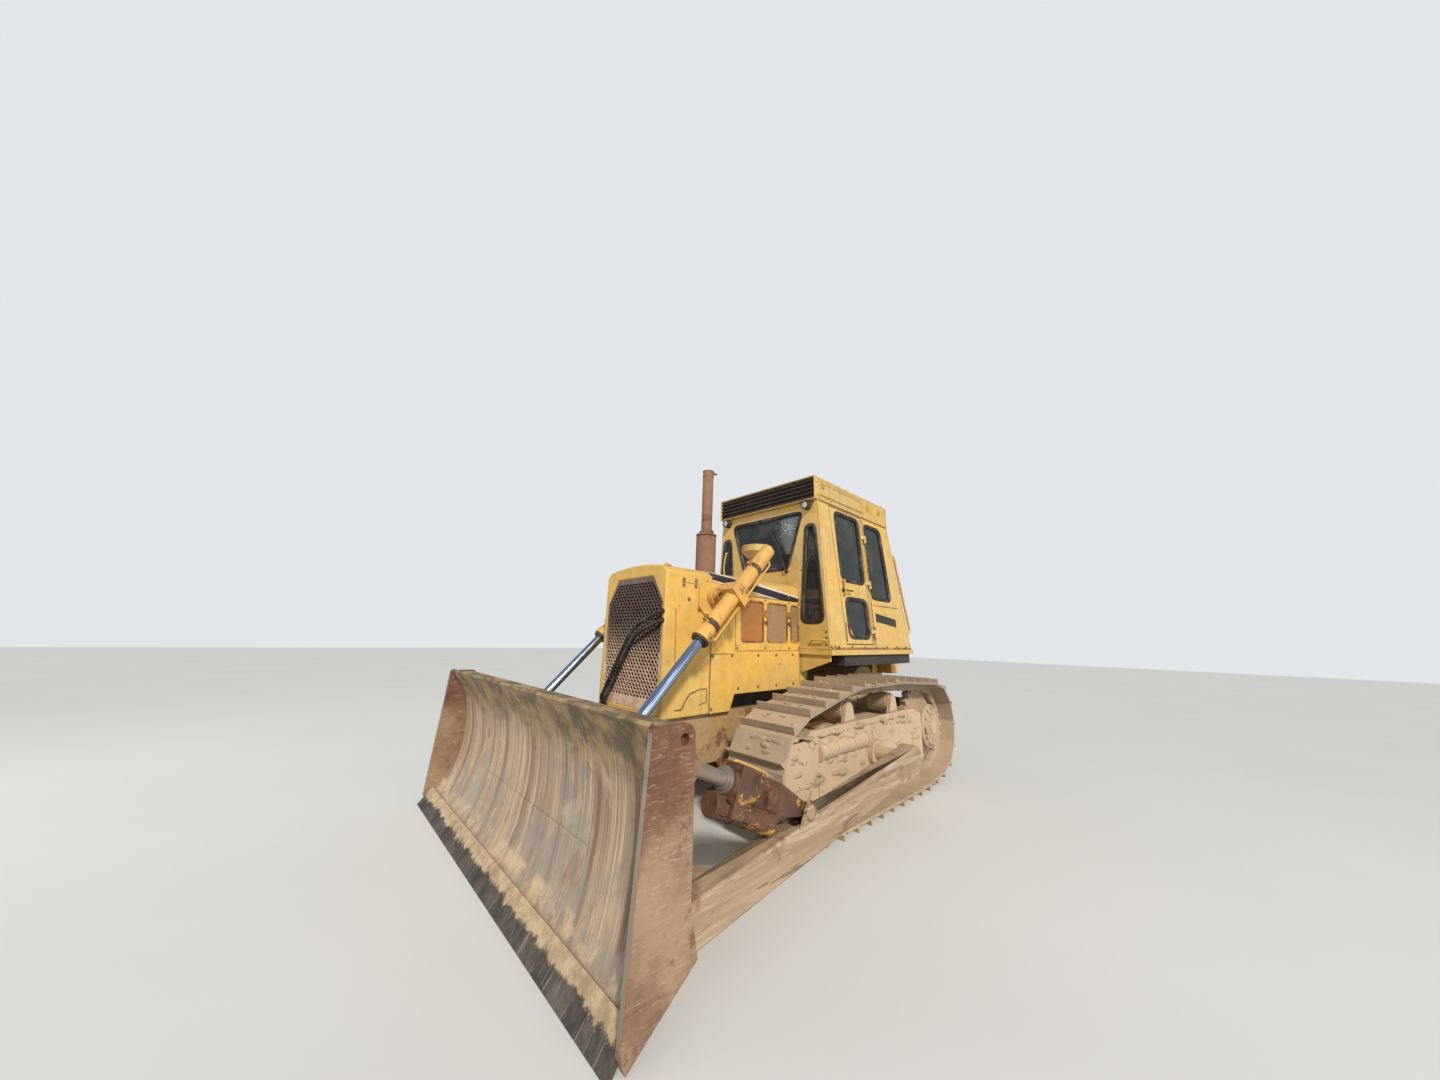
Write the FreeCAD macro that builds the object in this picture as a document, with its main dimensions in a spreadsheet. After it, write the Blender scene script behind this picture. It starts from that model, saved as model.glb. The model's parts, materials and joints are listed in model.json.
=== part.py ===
import FreeCAD, Part
import Sketcher
import math
import os

# A crawler bulldozer with a straight tilting blade and an enclosed cab.
# Millimetres. X to the machine's left, Y to its rear, Z up.
# The origin is on the ground under the middle of the machine's length and width.

doc = FreeCAD.newDocument("Bulldozer")
Vector = FreeCAD.Vector

# Name, size in mm or degrees, meaning
SIZE_TABLE = (
    ("half_gauge", 940, "middle of a track from the machine's middle"),
    ("shoe_width", 510, "track shoe across the track"),
    ("link_pitch", 203.2, "track pin to track pin"),
    ("grouser_rise", 95, "grouser tip above the pin line"),
    ("shoe_seat", 30, "shoe's inner face above the pin line"),
    ("shoe_top", 52, "shoe plate's outer face above the pin line"),
    ("rail_depth", 52, "rail surface below the pin line"),
    ("rail_wide", 42, "one rail of the chain across the track"),
    ("rail_middle", 72, "middle of a rail from the track's middle"),
    ("sprocket_y", 1781, "sprocket shaft"),
    ("sprocket_z", 549, "sprocket shaft"),
    ("sprocket_pitch", 408.6, "radius of the sprocket's pin circle"),
    ("sprocket_root", 372, "radius at the bottom of the teeth"),
    ("sprocket_tip", 419, "radius at the tips of the teeth"),
    ("sprocket_thick", 66, "sprocket across the track"),
    ("idler_y", -577, "front idler shaft"),
    ("idler_z", 500, "front idler shaft"),
    ("idler_tread", 294, "radius that carries the rails"),
    ("roller_radius", 92, "track roller tread"),
    ("wheel_slack", 0.1, "chain off the idler's tread at mid link"),
    ("roller_slack", 6, "chain off the track rollers"),
    ("carrier_slack", 12, "chain off the carrier rollers"),
    ("roller_first_y", -200, "front track roller"),
    ("roller_step", 312, "from one track roller to the next"),
    ("carrier_radius", 92, "carrier roller tread"),
    ("carrier_front_y", 95, "front carrier roller"),
    ("carrier_rear_y", 935, "rear carrier roller"),
    ("carrier_z", 856, "carrier roller shaft"),
    ("beam_wide", 280, "track frame beam across"),
    ("beam_low", 345, "underside of the track frame beam"),
    ("beam_high", 735, "top of the track frame beam"),
    ("beam_front_y", -222, "front end of the track frame beam"),
    ("beam_rear_y", 1335, "rear end of the track frame beam"),
    ("guard_thick", 26, "side plates of the track frame"),
    ("guard_low", 185, "lower edge of the roller guards"),
    ("guard_high", 775, "upper edge of the outer track frame plate"),
    ("rail_in", 330, "frame side rail, inner face"),
    ("rail_out", 400, "frame side rail, outer face"),
    ("frame_low", 500, "frame side rail, underside"),
    ("frame_high", 845, "frame side rail, top"),
    ("frame_front_y", -1400, "front of the frame"),
    ("frame_rear_y", 1250, "rear of the frame, where the drive case starts"),
    ("belly_thick", 30, "guard plate under the frame"),
    ("hood_half", 446, "hood and radiator guard, half width"),
    ("guard_front_y", -1433, "front face of the radiator guard"),
    ("guard_rear_y", -950, "rear of the radiator guard"),
    ("guard_wall", 22, "radiator guard's plate"),
    ("hood_shoulder_z", 1940, "where the hood's side turns into its top"),
    ("hood_edge_half", 385, "where the hood's top starts"),
    ("hood_edge_z", 1985, "where the hood's top starts"),
    ("hood_crown", 2400, "radius of the hood's top across"),
    ("hood_wall", 10, "hood plate"),
    ("seat_gap", 0.3, "gap where one piece rests on another"),
    ("hood_rear_y", 273, "rear end of the hood"),
    ("door_low_z", 1330, "engine side panel, lower edge"),
    ("door_high_z", 1812, "engine side panel, upper edge"),
    ("skirt_low_z", 975, "lower side plate, underside"),
    ("skirt_step_y", -663, "where the lower side plate steps down"),
    ("grille_top_half", 262, "grille opening's top edge, half width"),
    ("grille_half", 404, "grille opening, half width"),
    ("grille_top_z", 1905, "grille opening, top edge"),
    ("grille_chamfer_z", 1700, "grille opening, foot of the corner chamfer"),
    ("grille_low_z", 895, "grille opening, lower edge"),
    ("case_half", 330, "drive case, half width"),
    ("case_rear_y", 2290, "drive case, rear face"),
    ("case_low", 450, "drive case, underside"),
    ("case_high", 1040, "drive case, top"),
    ("floor_low", 1300, "cab floor, underside"),
    ("cab_low", 1350, "cab floor, top, and foot of the cab's walls"),
    ("roof_low", 2882, "underside of the roof"),
    ("roof_high", 3142, "top of the roof"),
    ("roof_half", 707, "roof, half width"),
    ("roof_front_y", 225, "roof, front face"),
    ("roof_rear_y", 1888, "roof, rear face"),
    ("louvre_edge", 14, "roof's frame round its front louvre"),
    ("louvre_deep", 50, "depth of the roof's front recess"),
    ("roof_side", 87, "roof's hollow from the roof's sides"),
    ("roof_deck", 52, "thickness over the roof's hollow"),
    ("cab_half_low", 800, "cab, half width at its foot"),
    ("cab_half_high", 700, "cab, half width at the roof"),
    ("cab_front_y", 275, "front face of the cab's front wall"),
    ("cab_rear_low_y", 2150, "rear wall's outer face at its foot"),
    ("cab_rear_high_y", 1888, "rear wall's outer face at the roof"),
    ("cab_wall", 40, "cab wall"),
    ("door_gap", 7, "gap round a cab door"),
    ("door_rear_y", 1190, "cab door opening, hinge side"),
    ("door_front_low_y", 600, "cab door opening, front side at the foot"),
    ("door_front_high_y", 490, "cab door opening, front side at the top"),
    ("sill_rise", 50, "cab door opening above the floor"),
    ("head_drop", 18, "cab door opening below the roof"),
    ("hinge_stand", 24, "door hinge's axis outside the wall"),
    ("hinge_low", 1520, "lowest door hinge"),
    ("hinge_step", 540, "from one door hinge to the next"),
    ("hinge_long", 45, "half a door hinge, up or down from its middle"),
    ("strap_reach", 55, "door hinge's strap from its axis"),
    ("handle_away", 550, "door handle from the hinge's axis"),
    ("handle_wide", 25, "door handle's bar across"),
    ("handle_foot", 560, "door handle's lower end above the floor"),
    ("handle_long", 160, "door handle from end to end"),
    ("handle_end", 22, "door handle's feet"),
    ("glass_thick", 8, "window glass"),
    ("glass_set", 14, "window glass below the wall's outer face"),
    ("blade_half", 1600, "blade, half width"),
    ("blade_top_y", -2323, "top edge of the moldboard"),
    ("blade_top_z", 1084, "top edge of the moldboard"),
    ("toe_y", -2421, "cutting edge's tip"),
    ("edge_angle", 39, "cutting edge from the vertical"),
    ("edge_long", 150, "cutting edge, from tip to top"),
    ("edge_thick", 25, "cutting edge plate"),
    ("mold_radius", 770, "curve of the moldboard"),
    ("mold_thick", 22, "moldboard plate"),
    ("end_thick", 30, "blade's end plates"),
    ("rib_thick", 26, "ribs behind the blade"),
    ("lift_x", 714, "lift cylinder from the machine's middle"),
    ("trunnion_y", -960, "lift cylinder's trunnion"),
    ("trunnion_z", 1774, "lift cylinder's trunnion"),
    ("lift_eye_y", -1985, "lift rod's eye on the blade"),
    ("lift_eye_z", 732, "lift rod's eye on the blade"),
    ("lift_bore", 50, "lift barrel's bore, radius"),
    ("lift_shell", 62, "lift barrel's outside, radius"),
    ("gland_rise", 12, "gland's collar over the barrel"),
    ("gland_long", 60, "gland's collar along the barrel"),
    ("clamp_half", 42, "clamp round the barrel at its trunnion, half length"),
    ("clamp_rise", 32, "clamp over the barrel, above and below"),
    ("lift_rod", 38, "lift rod, radius"),
    ("gland_reach", 495, "gland's face from the trunnion"),
    ("barrel_tail", 590, "barrel's closed end from the trunnion"),
    ("lift_stroke_rod", 1400, "lift rod from its eye to its piston"),
    ("eye_radius", 60, "rod eyes"),
    ("eye_half", 40, "rod eyes, half width"),
    ("eye_room", 56, "room for the lift rod's eye on each side between its ribs"),
    ("ball_y", 433, "push arm's ball on the track frame"),
    ("ball_z", 493, "push arm's ball on the track frame"),
    ("ball_radius", 75, "push arm's ball"),
    ("ball_foot", 110, "flange at the foot of the ball's shaft, radius"),
    ("ball_neck", 55, "ball's shaft, radius"),
    ("ball_end", 40, "ball's flat outer end from its middle"),
    ("ball_fit", 0.4, "radial gap round the balls, pins and rods"),
    ("arm_x", 1415, "push arm from the machine's middle"),
    ("arm_wide", 130, "push arm across"),
    ("arm_tall", 196, "push arm's height"),
    ("arm_pin_y", -2100, "push arm's pin at the blade"),
    ("arm_pin_z", 210, "push arm's pin at the blade"),
    ("arm_nose", 82, "push arm's end round its pin, radius"),
    ("arm_gap", 9, "gap between the push arm and the blade's ears"),
    ("ring_radius", 94, "bearing ring round the right ball, outside"),
    ("ring_half", 40, "bearing ring, half width"),
    ("ring_crown", 7, "bearing ring's crown outside"),
    ("tilt_lug_y", -1090, "tilt cylinder's pin on the push arm"),
    ("tilt_lug_z", 470, "tilt cylinder's pin on the push arm"),
    ("tilt_eye_y", -2020, "tilt rod's pin on the blade"),
    ("tilt_eye_z", 870, "tilt rod's pin on the blade"),
    ("tilt_shell", 82, "tilt barrel's outside, radius"),
    ("tilt_bore", 60, "tilt barrel's bore, radius"),
    ("tilt_tail", 285, "tilt barrel's closed end from its pin"),
    ("head_half", 92, "tilt barrel's square head, half width"),
    ("head_long", 105, "tilt barrel's square head along the barrel"),
    ("pod_radius", 58, "round case below the tilt barrel"),
    ("pod_drop", 118, "round case's axis below the tilt barrel's"),
    ("tilt_rod", 36, "tilt rod, radius"),
    ("rod_end", 50, "tilt rod's eye, radius"),
    ("tilt_gland", 700, "tilt barrel's gland from its pin"),
    ("stack_y", -640, "exhaust stack"),
    ("muffler_radius", 98, "exhaust muffler"),
    ("stack_radius", 54, "exhaust pipe"),
    ("muffler_high", 2430, "top of the muffler"),
    ("stack_high", 3098, "top of the exhaust pipe"),
    ("cleaner_x", 150, "air cleaner's bowl"),
    ("cleaner_y", -50, "air cleaner's bowl"),
    ("cleaner_radius", 158, "air cleaner's bowl"),
    ("cleaner_neck", 62, "air cleaner's neck, radius"),
    ("cleaner_high", 2385, "rim of the air cleaner's bowl"),
    ("drawbar_rear_y", 2421, "rear end of the drawbar"),
    ("drawbar_low", 380, "drawbar, underside"),
    ("drawbar_thick", 70, "drawbar's height"),
    ("drawbar_half", 90, "drawbar, half width"),
    ("engine_half", 270, "engine block, half width"),
    ("engine_low", 700, "engine block, underside"),
    ("engine_high", 1640, "engine block, top"),
    ("equalizer_y", -375, "middle of the equalizer bar"),
    ("pivot_radius", 62, "rear pivot shafts"),
    ("drum_radius", 340, "steering clutch drum"),
    ("drum_z", 795, "steering clutch drum"),
    ("winch_hole", 13, "tapped holes on the rear face, radius"),
    ("winch_depth", 60, "tapped holes on the rear face, depth"),
    ("winch_across", 480, "tapped holes on the rear face, across"),
    ("winch_up", 300, "tapped holes on the rear face, up"),
    ("winch_z", 620, "lower row of tapped holes on the rear face"),
    ("knuckle", 14, "door hinge's knuckles, radius"),
    ("guard_face", 30, "radiator guard's front plate"),
    ("grille_rim", 16, "grille's rim"),
    ("grille_step", 74, "from one grille bar to the next, across"),
    ("grille_bar", 9, "grille bar's width"),
    ("grille_slope", 55, "grille bars from the vertical"),
    ("core_front_y", -1340, "radiator core, front face"),
    ("core_deep", 130, "radiator core, front to rear"),
    ("core_drop", 60, "radiator core's top below the grille's"),
    ("panel_thick", 16, "engine side panels"),
    ("screen_first_y", -584, "front edge of the first screened opening"),
    ("seat_half", 240, "seat, half width"),
    ("seat_y", 1290, "middle of the seat cushion"),
    ("seat_high", 1870, "top of the seat cushion"),
    ("pane_front", 630, "door's upper window, front edge at its foot"),
    ("pane_rear", 1105, "door windows, rear edge"),
    ("pane_corner", 30, "bevel of a window's corners"),
    ("pane_high_foot", 2060, "door's upper window, lower edge"),
    ("pane_high_top", 2820, "door's upper window, upper edge"),
    ("pane_low_foot", 1470, "door's lower window, lower edge"),
    ("pane_low_top", 1880, "door's lower window, upper edge"),
    ("dash_half", 280, "dash, half width"),
    ("lever_x", 110, "steering levers from the machine's middle"),
    ("quarter_in", 490, "front quarter windows, inner edge at the foot"),
    ("quarter_low", 1610, "front quarter windows, lower edge"),
    ("quarter_high", 2620, "front quarter windows, upper edge"),
    ("shield_low", 2180, "windshield, lower edge"),
    ("shield_high", 2780, "windshield, upper edge"),
    ("shield_half_low", 315, "windshield, half width at its foot"),
    ("shield_half_high", 500, "windshield, half width at its top"),
    ("side_window_front", 1250, "rear side window, front edge"),
    ("side_window_rear", 1710, "rear side window, rear edge"),
    ("side_window_low", 1915, "rear side window, lower edge"),
    ("side_window_high", 2800, "rear side window, upper edge"),
    ("rear_window_half", 500, "rear window, half width"),
    ("rear_window_low", 1950, "rear window, lower edge"),
    ("rear_window_high", 2780, "rear window, upper edge"),
    ("rail_tube", 16, "handrail tube, radius"),
    ("rail_bend", 70, "handrail, radius of its bends"),
    ("tank_half", 500, "fuel tank, half width"),
    ("tank_front_y", 2200, "fuel tank, front face"),
    ("tank_rear_y", 2405, "fuel tank, rear face"),
    ("tank_high", 1850, "fuel tank, top"),
    ("filler_radius", 55, "fuel tank's filler"),
    ("lamp_radius", 45, "work lamps"),
    ("lamp_long", 62, "work lamps, front to rear"),
    ("lamp_x", 590, "work lamps from the machine's middle"),
    ("lamp_z", 2825, "work lamps"),
    ("yoke_thick", 20, "lift cylinder yoke's plate"),
    ("stub_radius", 45, "lift cylinder's trunnion shaft"),
    ("lug_thick", 20, "tilt cylinder's lugs on the push arm"),
    ("lug_gap", 4, "gap beside the tilt cylinder's eye"),
    ("tilt_boss", 44, "tilt cylinder's rear eye and the boss outside its lug, radius"),
    ("hub_in_x", 530, "barrel's trunnion hub, inner end"),
    ("stub_end_x", 636, "end of the trunnion shaft"),
    ("pin_radius", 40, "push arm's pin"),
    ("lock_thick", 14, "lock plates over the pins' ends"),
    ("brace_x", 930, "middle of the push arm brace's eye"),
    ("brace_eye", 36, "push arm brace's eye, half width"),
    ("brace_end", 72, "push arm brace's eye, radius"),
    ("brace_foot", 560, "push arm brace's foot from the arm's pin"),
    ("brace_half", 34, "push arm brace, half width at its eye"),
    ("brace_drop", 35, "push arm brace, underside below the pin"),
    ("brace_rise", 62, "push arm brace, top above the pin"),
    ("brace_gap", 9, "gap between the brace's eye and its ears"),
    ("tilt_pin", 28, "tilt cylinder's pins"),
    ("screw_radius", 37, "right brace's tube"),
    ("screw_eye", 48, "right brace's eyes, radius"),
    ("tilt_slack", 4.5, "radial room for the tilt, at the left arm's front pin and the tilt rod's eye"),
    ("socket_deep", 48, "blind end of the push arm's socket from the ball's middle"),
    ("tilt_room", 18, "room beside the tilt rod's eye"),
    ("tilt_rod_long", 640, "tilt rod from its eye to its piston's end"),
    ("arm_rear", 112, "push arm's round end over the ball"),
    ("lifting_hole", 24, "hole at the top of the blade's end plates, radius"),
    ("end_bit", 250, "end bits of the cutting edge, across"),
    ("hub_radius", 225, "final drive's outer cover, radius"),
    ("hub_out", 152, "final drive's outer cover beyond the sprocket's outer face"),
    ("hub_taper", 35, "final drive's outer cover, length of its cone"),
    ("hub_lip", 50, "final drive's outer cover, narrower at its face by"),
    ("drive_radius", 262, "final drive's inner housing, radius"),
    ("drawbar_pin", 27, "drawbar pin's hole, radius"),
    ("hose_radius", 13, "hoses across the grille, radius"),
    ("hose_bend", 16, "hoses across the grille, radius of their bends"),
)
SIZES = {}
sheet = doc.addObject("Spreadsheet::Sheet", "Sizes")
for row, (size_name, size_value, meaning) in enumerate(SIZE_TABLE, start=1):
    sheet.set("A%d" % row, size_name)
    sheet.set("B%d" % row, str(size_value))
    sheet.set("C%d" % row, meaning)
    sheet.setAlias("B%d" % row, size_name)
    SIZES[size_name] = size_value
doc.recompute()


# Formulas over the sheet

def linked(formula):
    """The formula with each size's name pointing at its cell."""
    text = str(formula)
    done = ""
    word = ""
    for letter in text + " ":
        if letter.isalnum() or letter in "_.":
            word += letter
            continue
        done += ("Sizes." + word if word in SIZES else word) + letter
        word = ""
    return done.strip()


def value(formula):
    """The formula's value now."""
    return float(sheet.evalExpression(linked(formula)))


def bind(thing, field, formula):
    """A property that follows the sheet."""
    thing.setExpression(field, linked(formula))


def place(thing, x=0, y=0, z=0):
    """A sub-part's place, following the sheet."""
    for axis, formula in (("x", x), ("y", y), ("z", z)):
        if str(formula) != "0":
            bind(thing, ".Placement.Base." + axis, formula)
    return thing


def turn(thing, axis, formula):
    """A sub-part's turn about one axis, following the sheet."""
    thing.Placement.Rotation = FreeCAD.Rotation(Vector(*axis), 0.001)
    bind(thing, ".Placement.Rotation.Angle", formula)
    return thing


# Primitives, sketches and booleans

def box(x0, x1, y0, y1, z0, z1):
    """A block between six planes."""
    block = doc.addObject("Part::Box", "Block")
    bind(block, "Length", "(%s) - (%s)" % (x1, x0))
    bind(block, "Width", "(%s) - (%s)" % (y1, y0))
    bind(block, "Height", "(%s) - (%s)" % (z1, z0))
    return place(block, x0, y0, z0)


def round_bar(radius, x0, x1, y, z):
    """A round bar along X."""
    bar = doc.addObject("Part::Cylinder", "Bar")
    bind(bar, "Radius", radius)
    bind(bar, "Height", "(%s) - (%s)" % (x1, x0))
    bar.Placement.Rotation = FreeCAD.Rotation(Vector(0, 1, 0), 90)
    return place(bar, x0, y, z)


def post(radius, x, y, z0, z1):
    """A round bar along Z."""
    bar = doc.addObject("Part::Cylinder", "Post")
    bind(bar, "Radius", radius)
    bind(bar, "Height", "(%s) - (%s)" % (z1, z0))
    return place(bar, x, y, z0)


def fuse(*pieces):
    """One solid from pieces that meet."""
    joined = doc.addObject("Part::MultiFuse", "Joined")
    joined.Shapes = list(pieces)
    joined.Refine = True
    return joined


def group(*pieces):
    """Like pieces that don't touch, kept as separate solids."""
    bundle = doc.addObject("Part::Compound", "Bundle")
    bundle.Links = list(pieces)
    return bundle


def cut(base, *tools):
    """The base with the tools' volumes taken out."""
    result = doc.addObject("Part::Cut", "Opened")
    result.Base = base
    result.Tool = tools[0] if len(tools) == 1 else group(*tools)
    result.Refine = True
    return result


def common(first, second):
    """What two pieces share."""
    shared = doc.addObject("Part::Common", "Shared")
    shared.Base = first
    shared.Tool = second
    return shared


def mirrored(piece):
    """The same piece on the machine's right."""
    twin = doc.addObject("Part::Mirroring", "Twin")
    twin.Source = piece
    twin.Normal = Vector(1, 0, 0)
    return twin


def plane_of(body, role):
    """One of a body's own origin planes or axes."""
    return [feature for feature in body.Origin.OriginFeatures if feature.Role == role][0]


def arc_through(start, end, radius):
    """Arc from start to end. A positive radius has its centre on the left of the way."""
    chord = end - start
    half = chord.Length / 2
    rise = math.sqrt(max(radius * radius - half * half, 0))
    left = Vector(-chord.y, chord.x, 0).normalize()
    side = 1 if radius > 0 else -1
    centre = start + chord * 0.5 + left * (side * rise)
    bulge = centre - left * (side * abs(radius))
    return Part.Arc(start, bulge, end)


def sketch_on(body, plane, outlines, offset="0"):
    """A sketch whose corners follow the sheet.

    An outline is a list of corners (across, up), or (across, up, radius) where the edge
    that leaves the corner is an arc. A circle is (across, up, "circle", radius).
    """
    sketch = body.newObject("Sketcher::SketchObject", "Outline")
    sketch.AttachmentSupport = (plane_of(body, plane), [""])
    sketch.MapMode = "FlatFace"
    bind(sketch, "AttachmentOffset.Base.z", offset)
    for outline in outlines:
        if "circle" in outline:
            across, up, _, radius = outline
            centre = Vector(value(across), value(up), 0)
            edge = sketch.addGeometry(Part.Circle(centre, Vector(0, 0, 1), value(radius)), False)
            fixed = (
                ("DistanceX", (edge, 3), across),
                ("DistanceY", (edge, 3), up),
                ("Radius", (edge,), radius),
            )
        else:
            corners = [Vector(value(corner[0]), value(corner[1]), 0) for corner in outline]
            first = sketch.GeometryCount
            count = len(outline)
            fixed = []
            for index, corner in enumerate(outline):
                start = corners[index]
                end = corners[(index + 1) % count]
                if len(corner) == 3:
                    edge = sketch.addGeometry(arc_through(start, end, value(corner[2])), False)
                    begins = 1 if sketch.getPoint(edge, 1).distanceToPoint(start) < 0.01 else 2
                    fixed.append(("Radius", (edge,), "abs(%s)" % corner[2]))
                else:
                    edge = sketch.addGeometry(Part.LineSegment(start, end), False)
                    begins = 1
                fixed.append(("DistanceX", (edge, begins), corner[0]))
                fixed.append(("DistanceY", (edge, begins), corner[1]))
            for index in range(count):
                edge = first + index
                follower = first + (index + 1) % count
                end = corners[(index + 1) % count]
                leaves = 2 if sketch.getPoint(edge, 2).distanceToPoint(end) < 0.01 else 1
                enters = 1 if sketch.getPoint(follower, 1).distanceToPoint(end) < 0.01 else 2
                sketch.addConstraint(Sketcher.Constraint("Coincident", edge, leaves, follower, enters))
        for kind, where, formula in fixed:
            number = sketch.addConstraint(Sketcher.Constraint(kind, *where, value(formula)))
            name = "size%d" % number
            sketch.renameConstraint(number, name)
            bind(sketch, ".Constraints." + name, formula)
    return sketch


def pad(plane, start, end, *outlines):
    """A plate or prism between two planes across X ("YZ"), Y ("XZ") or Z ("XY")."""
    body = doc.addObject("PartDesign::Body", "Plate")
    offset = "-(%s)" % end if plane == "XZ" else start
    sketch = sketch_on(body, plane + "_Plane", outlines, offset)
    solid = body.newObject("PartDesign::Pad", "Pad")
    solid.Profile = sketch
    bind(solid, "Length", "(%s) - (%s)" % (end, start))
    sketch.Visibility = False
    return body


def spin(plane, axis, outline):
    """A turned piece about one of its own axes."""
    body = doc.addObject("PartDesign::Body", "Turned")
    sketch = sketch_on(body, plane + "_Plane", [outline])
    solid = body.newObject("PartDesign::Revolution", "Turn")
    solid.Profile = sketch
    solid.ReferenceAxis = (plane_of(body, axis + "_Axis"), [""])
    solid.Angle = 360
    return body


def solid_of(shape):
    """A sub-part whose outline is worked out by the functions of its own section."""
    feature = doc.addObject("Part::Feature", "Formed")
    feature.Shape = shape
    return feature


def tube(points, radius, bend, sides=8):
    """A tube of straight runs and bends, its section a regular polygon that is mitred at each turn."""
    corners = [Vector(*[value(part) for part in point]) for point in points]
    steps = 3
    path = [corners[0]]
    for before, corner, after in zip(corners, corners[1:], corners[2:]):
        come = (corner - before).normalize()
        leave = (after - corner).normalize()
        turned = come.getAngle(leave)
        setback = value(bend) * math.tan(turned / 2)
        inward = (leave - come).normalize()
        centre = corner + inward * (value(bend) / math.cos(turned / 2))
        spoke = (corner - come * setback) - centre
        for step in range(steps + 1):
            angle = turned * step / steps
            path.append(centre + spoke * math.cos(angle) + come * (value(bend) * math.sin(angle)))
    path.append(corners[-1])
    way = (path[1] - path[0]).normalize()
    across = way.cross(Vector(0, 0, 1) if abs(way.z) < 0.9 else Vector(1, 0, 0)).normalize()
    up = way.cross(across)
    ring = []
    for side in range(sides):
        angle = 2 * math.pi * (side + 0.5) / sides
        ring.append(path[0] + (across * math.cos(angle) + up * math.sin(angle)) * value(radius))
    rings = [ring]
    for index in range(1, len(path)):
        way = (path[index] - path[index - 1]).normalize()
        onward = (path[min(index + 1, len(path) - 1)] - path[index])
        mitre = (way + onward.normalize()).normalize() if onward.Length > 0 else way
        ring = [corner + way * (mitre.dot(path[index] - corner) / mitre.dot(way)) for corner in ring]
        rings.append(ring)
    sections = [Part.makePolygon(ring + ring[:1]) for ring in rings]
    return solid_of(Part.makeLoft(sections, True, True))


nodes = {}


def node(name, piece):
    """A named sub-part of the machine."""
    piece.Label = name
    nodes[name] = piece
    return piece


# Track chains: one fixed loop a side, its outline made of the links and shoes

def belt_circles():
    """The wheels inside a track, in the order in which the chain meets them: y, z, radius."""
    last_roller = value("roller_first_y + 5 * roller_step")
    roller = value("rail_depth + roller_radius + roller_slack")
    roller_z = value("grouser_rise") + roller
    carrier = value("rail_depth + carrier_radius + carrier_slack")
    idler = math.hypot(value("rail_depth + idler_tread + wheel_slack"), value("link_pitch / 2"))
    return (
        (value("idler_y"), value("idler_z"), idler),
        (value("carrier_front_y"), value("carrier_z"), carrier),
        (value("carrier_rear_y"), value("carrier_z"), carrier),
        (value("sprocket_y"), value("sprocket_z"), value("sprocket_pitch")),
        (last_roller, roller_z, roller),
        (value("roller_first_y"), roller_z, roller),
    )


def belt_points():
    """Pin places along the chain, evenly spaced: over the top to the rear and back below."""
    circles = belt_circles()
    count = len(circles)
    normals = []
    for index in range(count):
        y0, z0, r0 = circles[index]
        y1, z1, r1 = circles[(index + 1) % count]
        apart = math.hypot(y1 - y0, z1 - z0)
        heading = math.atan2(z1 - z0, y1 - y0)
        normals.append(heading + math.acos((r0 - r1) / apart))
    pieces = []
    for index in range(count):
        y0, z0, r0 = circles[index]
        y1, z1, r1 = circles[(index + 1) % count]
        enter = normals[index - 1]
        leave = normals[index]
        sweep = (enter - leave) % (2 * math.pi)
        pieces.append(("arc", y0, z0, r0, enter, sweep, r0 * sweep))
        start = (y0 + r0 * math.cos(leave), z0 + r0 * math.sin(leave))
        end = (y1 + r1 * math.cos(leave), z1 + r1 * math.sin(leave))
        long = math.hypot(end[0] - start[0], end[1] - start[1])
        pieces.append(("run", start, end, long))
    total = sum(piece[-1] for piece in pieces)
    links = round(total / value("link_pitch"))
    points = []
    for index in range(links):
        along = total * index / links
        for piece in pieces:
            if along <= piece[-1]:
                break
            along -= piece[-1]
        share = along / piece[-1]
        if piece[0] == "arc":
            _, y0, z0, r0, enter, sweep, _ = piece
            angle = enter - sweep * share
            points.append((y0 + r0 * math.cos(angle), z0 + r0 * math.sin(angle)))
        else:
            _, start, end, _ = piece
            points.append((start[0] + (end[0] - start[0]) * share, start[1] + (end[1] - start[1]) * share))
    return points


def belt_loop(pins, profile):
    """A closed wire that repeats a link's profile, given as (share of the link, height)."""
    corners = []
    for (y0, z0), (y1, z1) in zip(pins, pins[1:] + pins[:1]):
        long = math.hypot(y1 - y0, z1 - z0)
        way_y, way_z = (y1 - y0) / long, (z1 - z0) / long
        for share, height in profile:
            y = y0 + way_y * long * share - way_z * height
            z = z0 + way_z * long * share + way_y * height
            corners.append(Vector(0, y, z))
    return Part.makePolygon(corners + corners[:1])


def belt_ring(pins, outer, inner, x0, x1):
    """A band of the chain between two loops, across the track from x0 to x1."""
    face = Part.Face(belt_loop(pins, outer)).cut(Part.Face(belt_loop(pins, inner)))
    band = face.extrude(Vector(x1 - x0, 0, 0))
    band.translate(Vector(x0, 0, 0))
    return band


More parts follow.
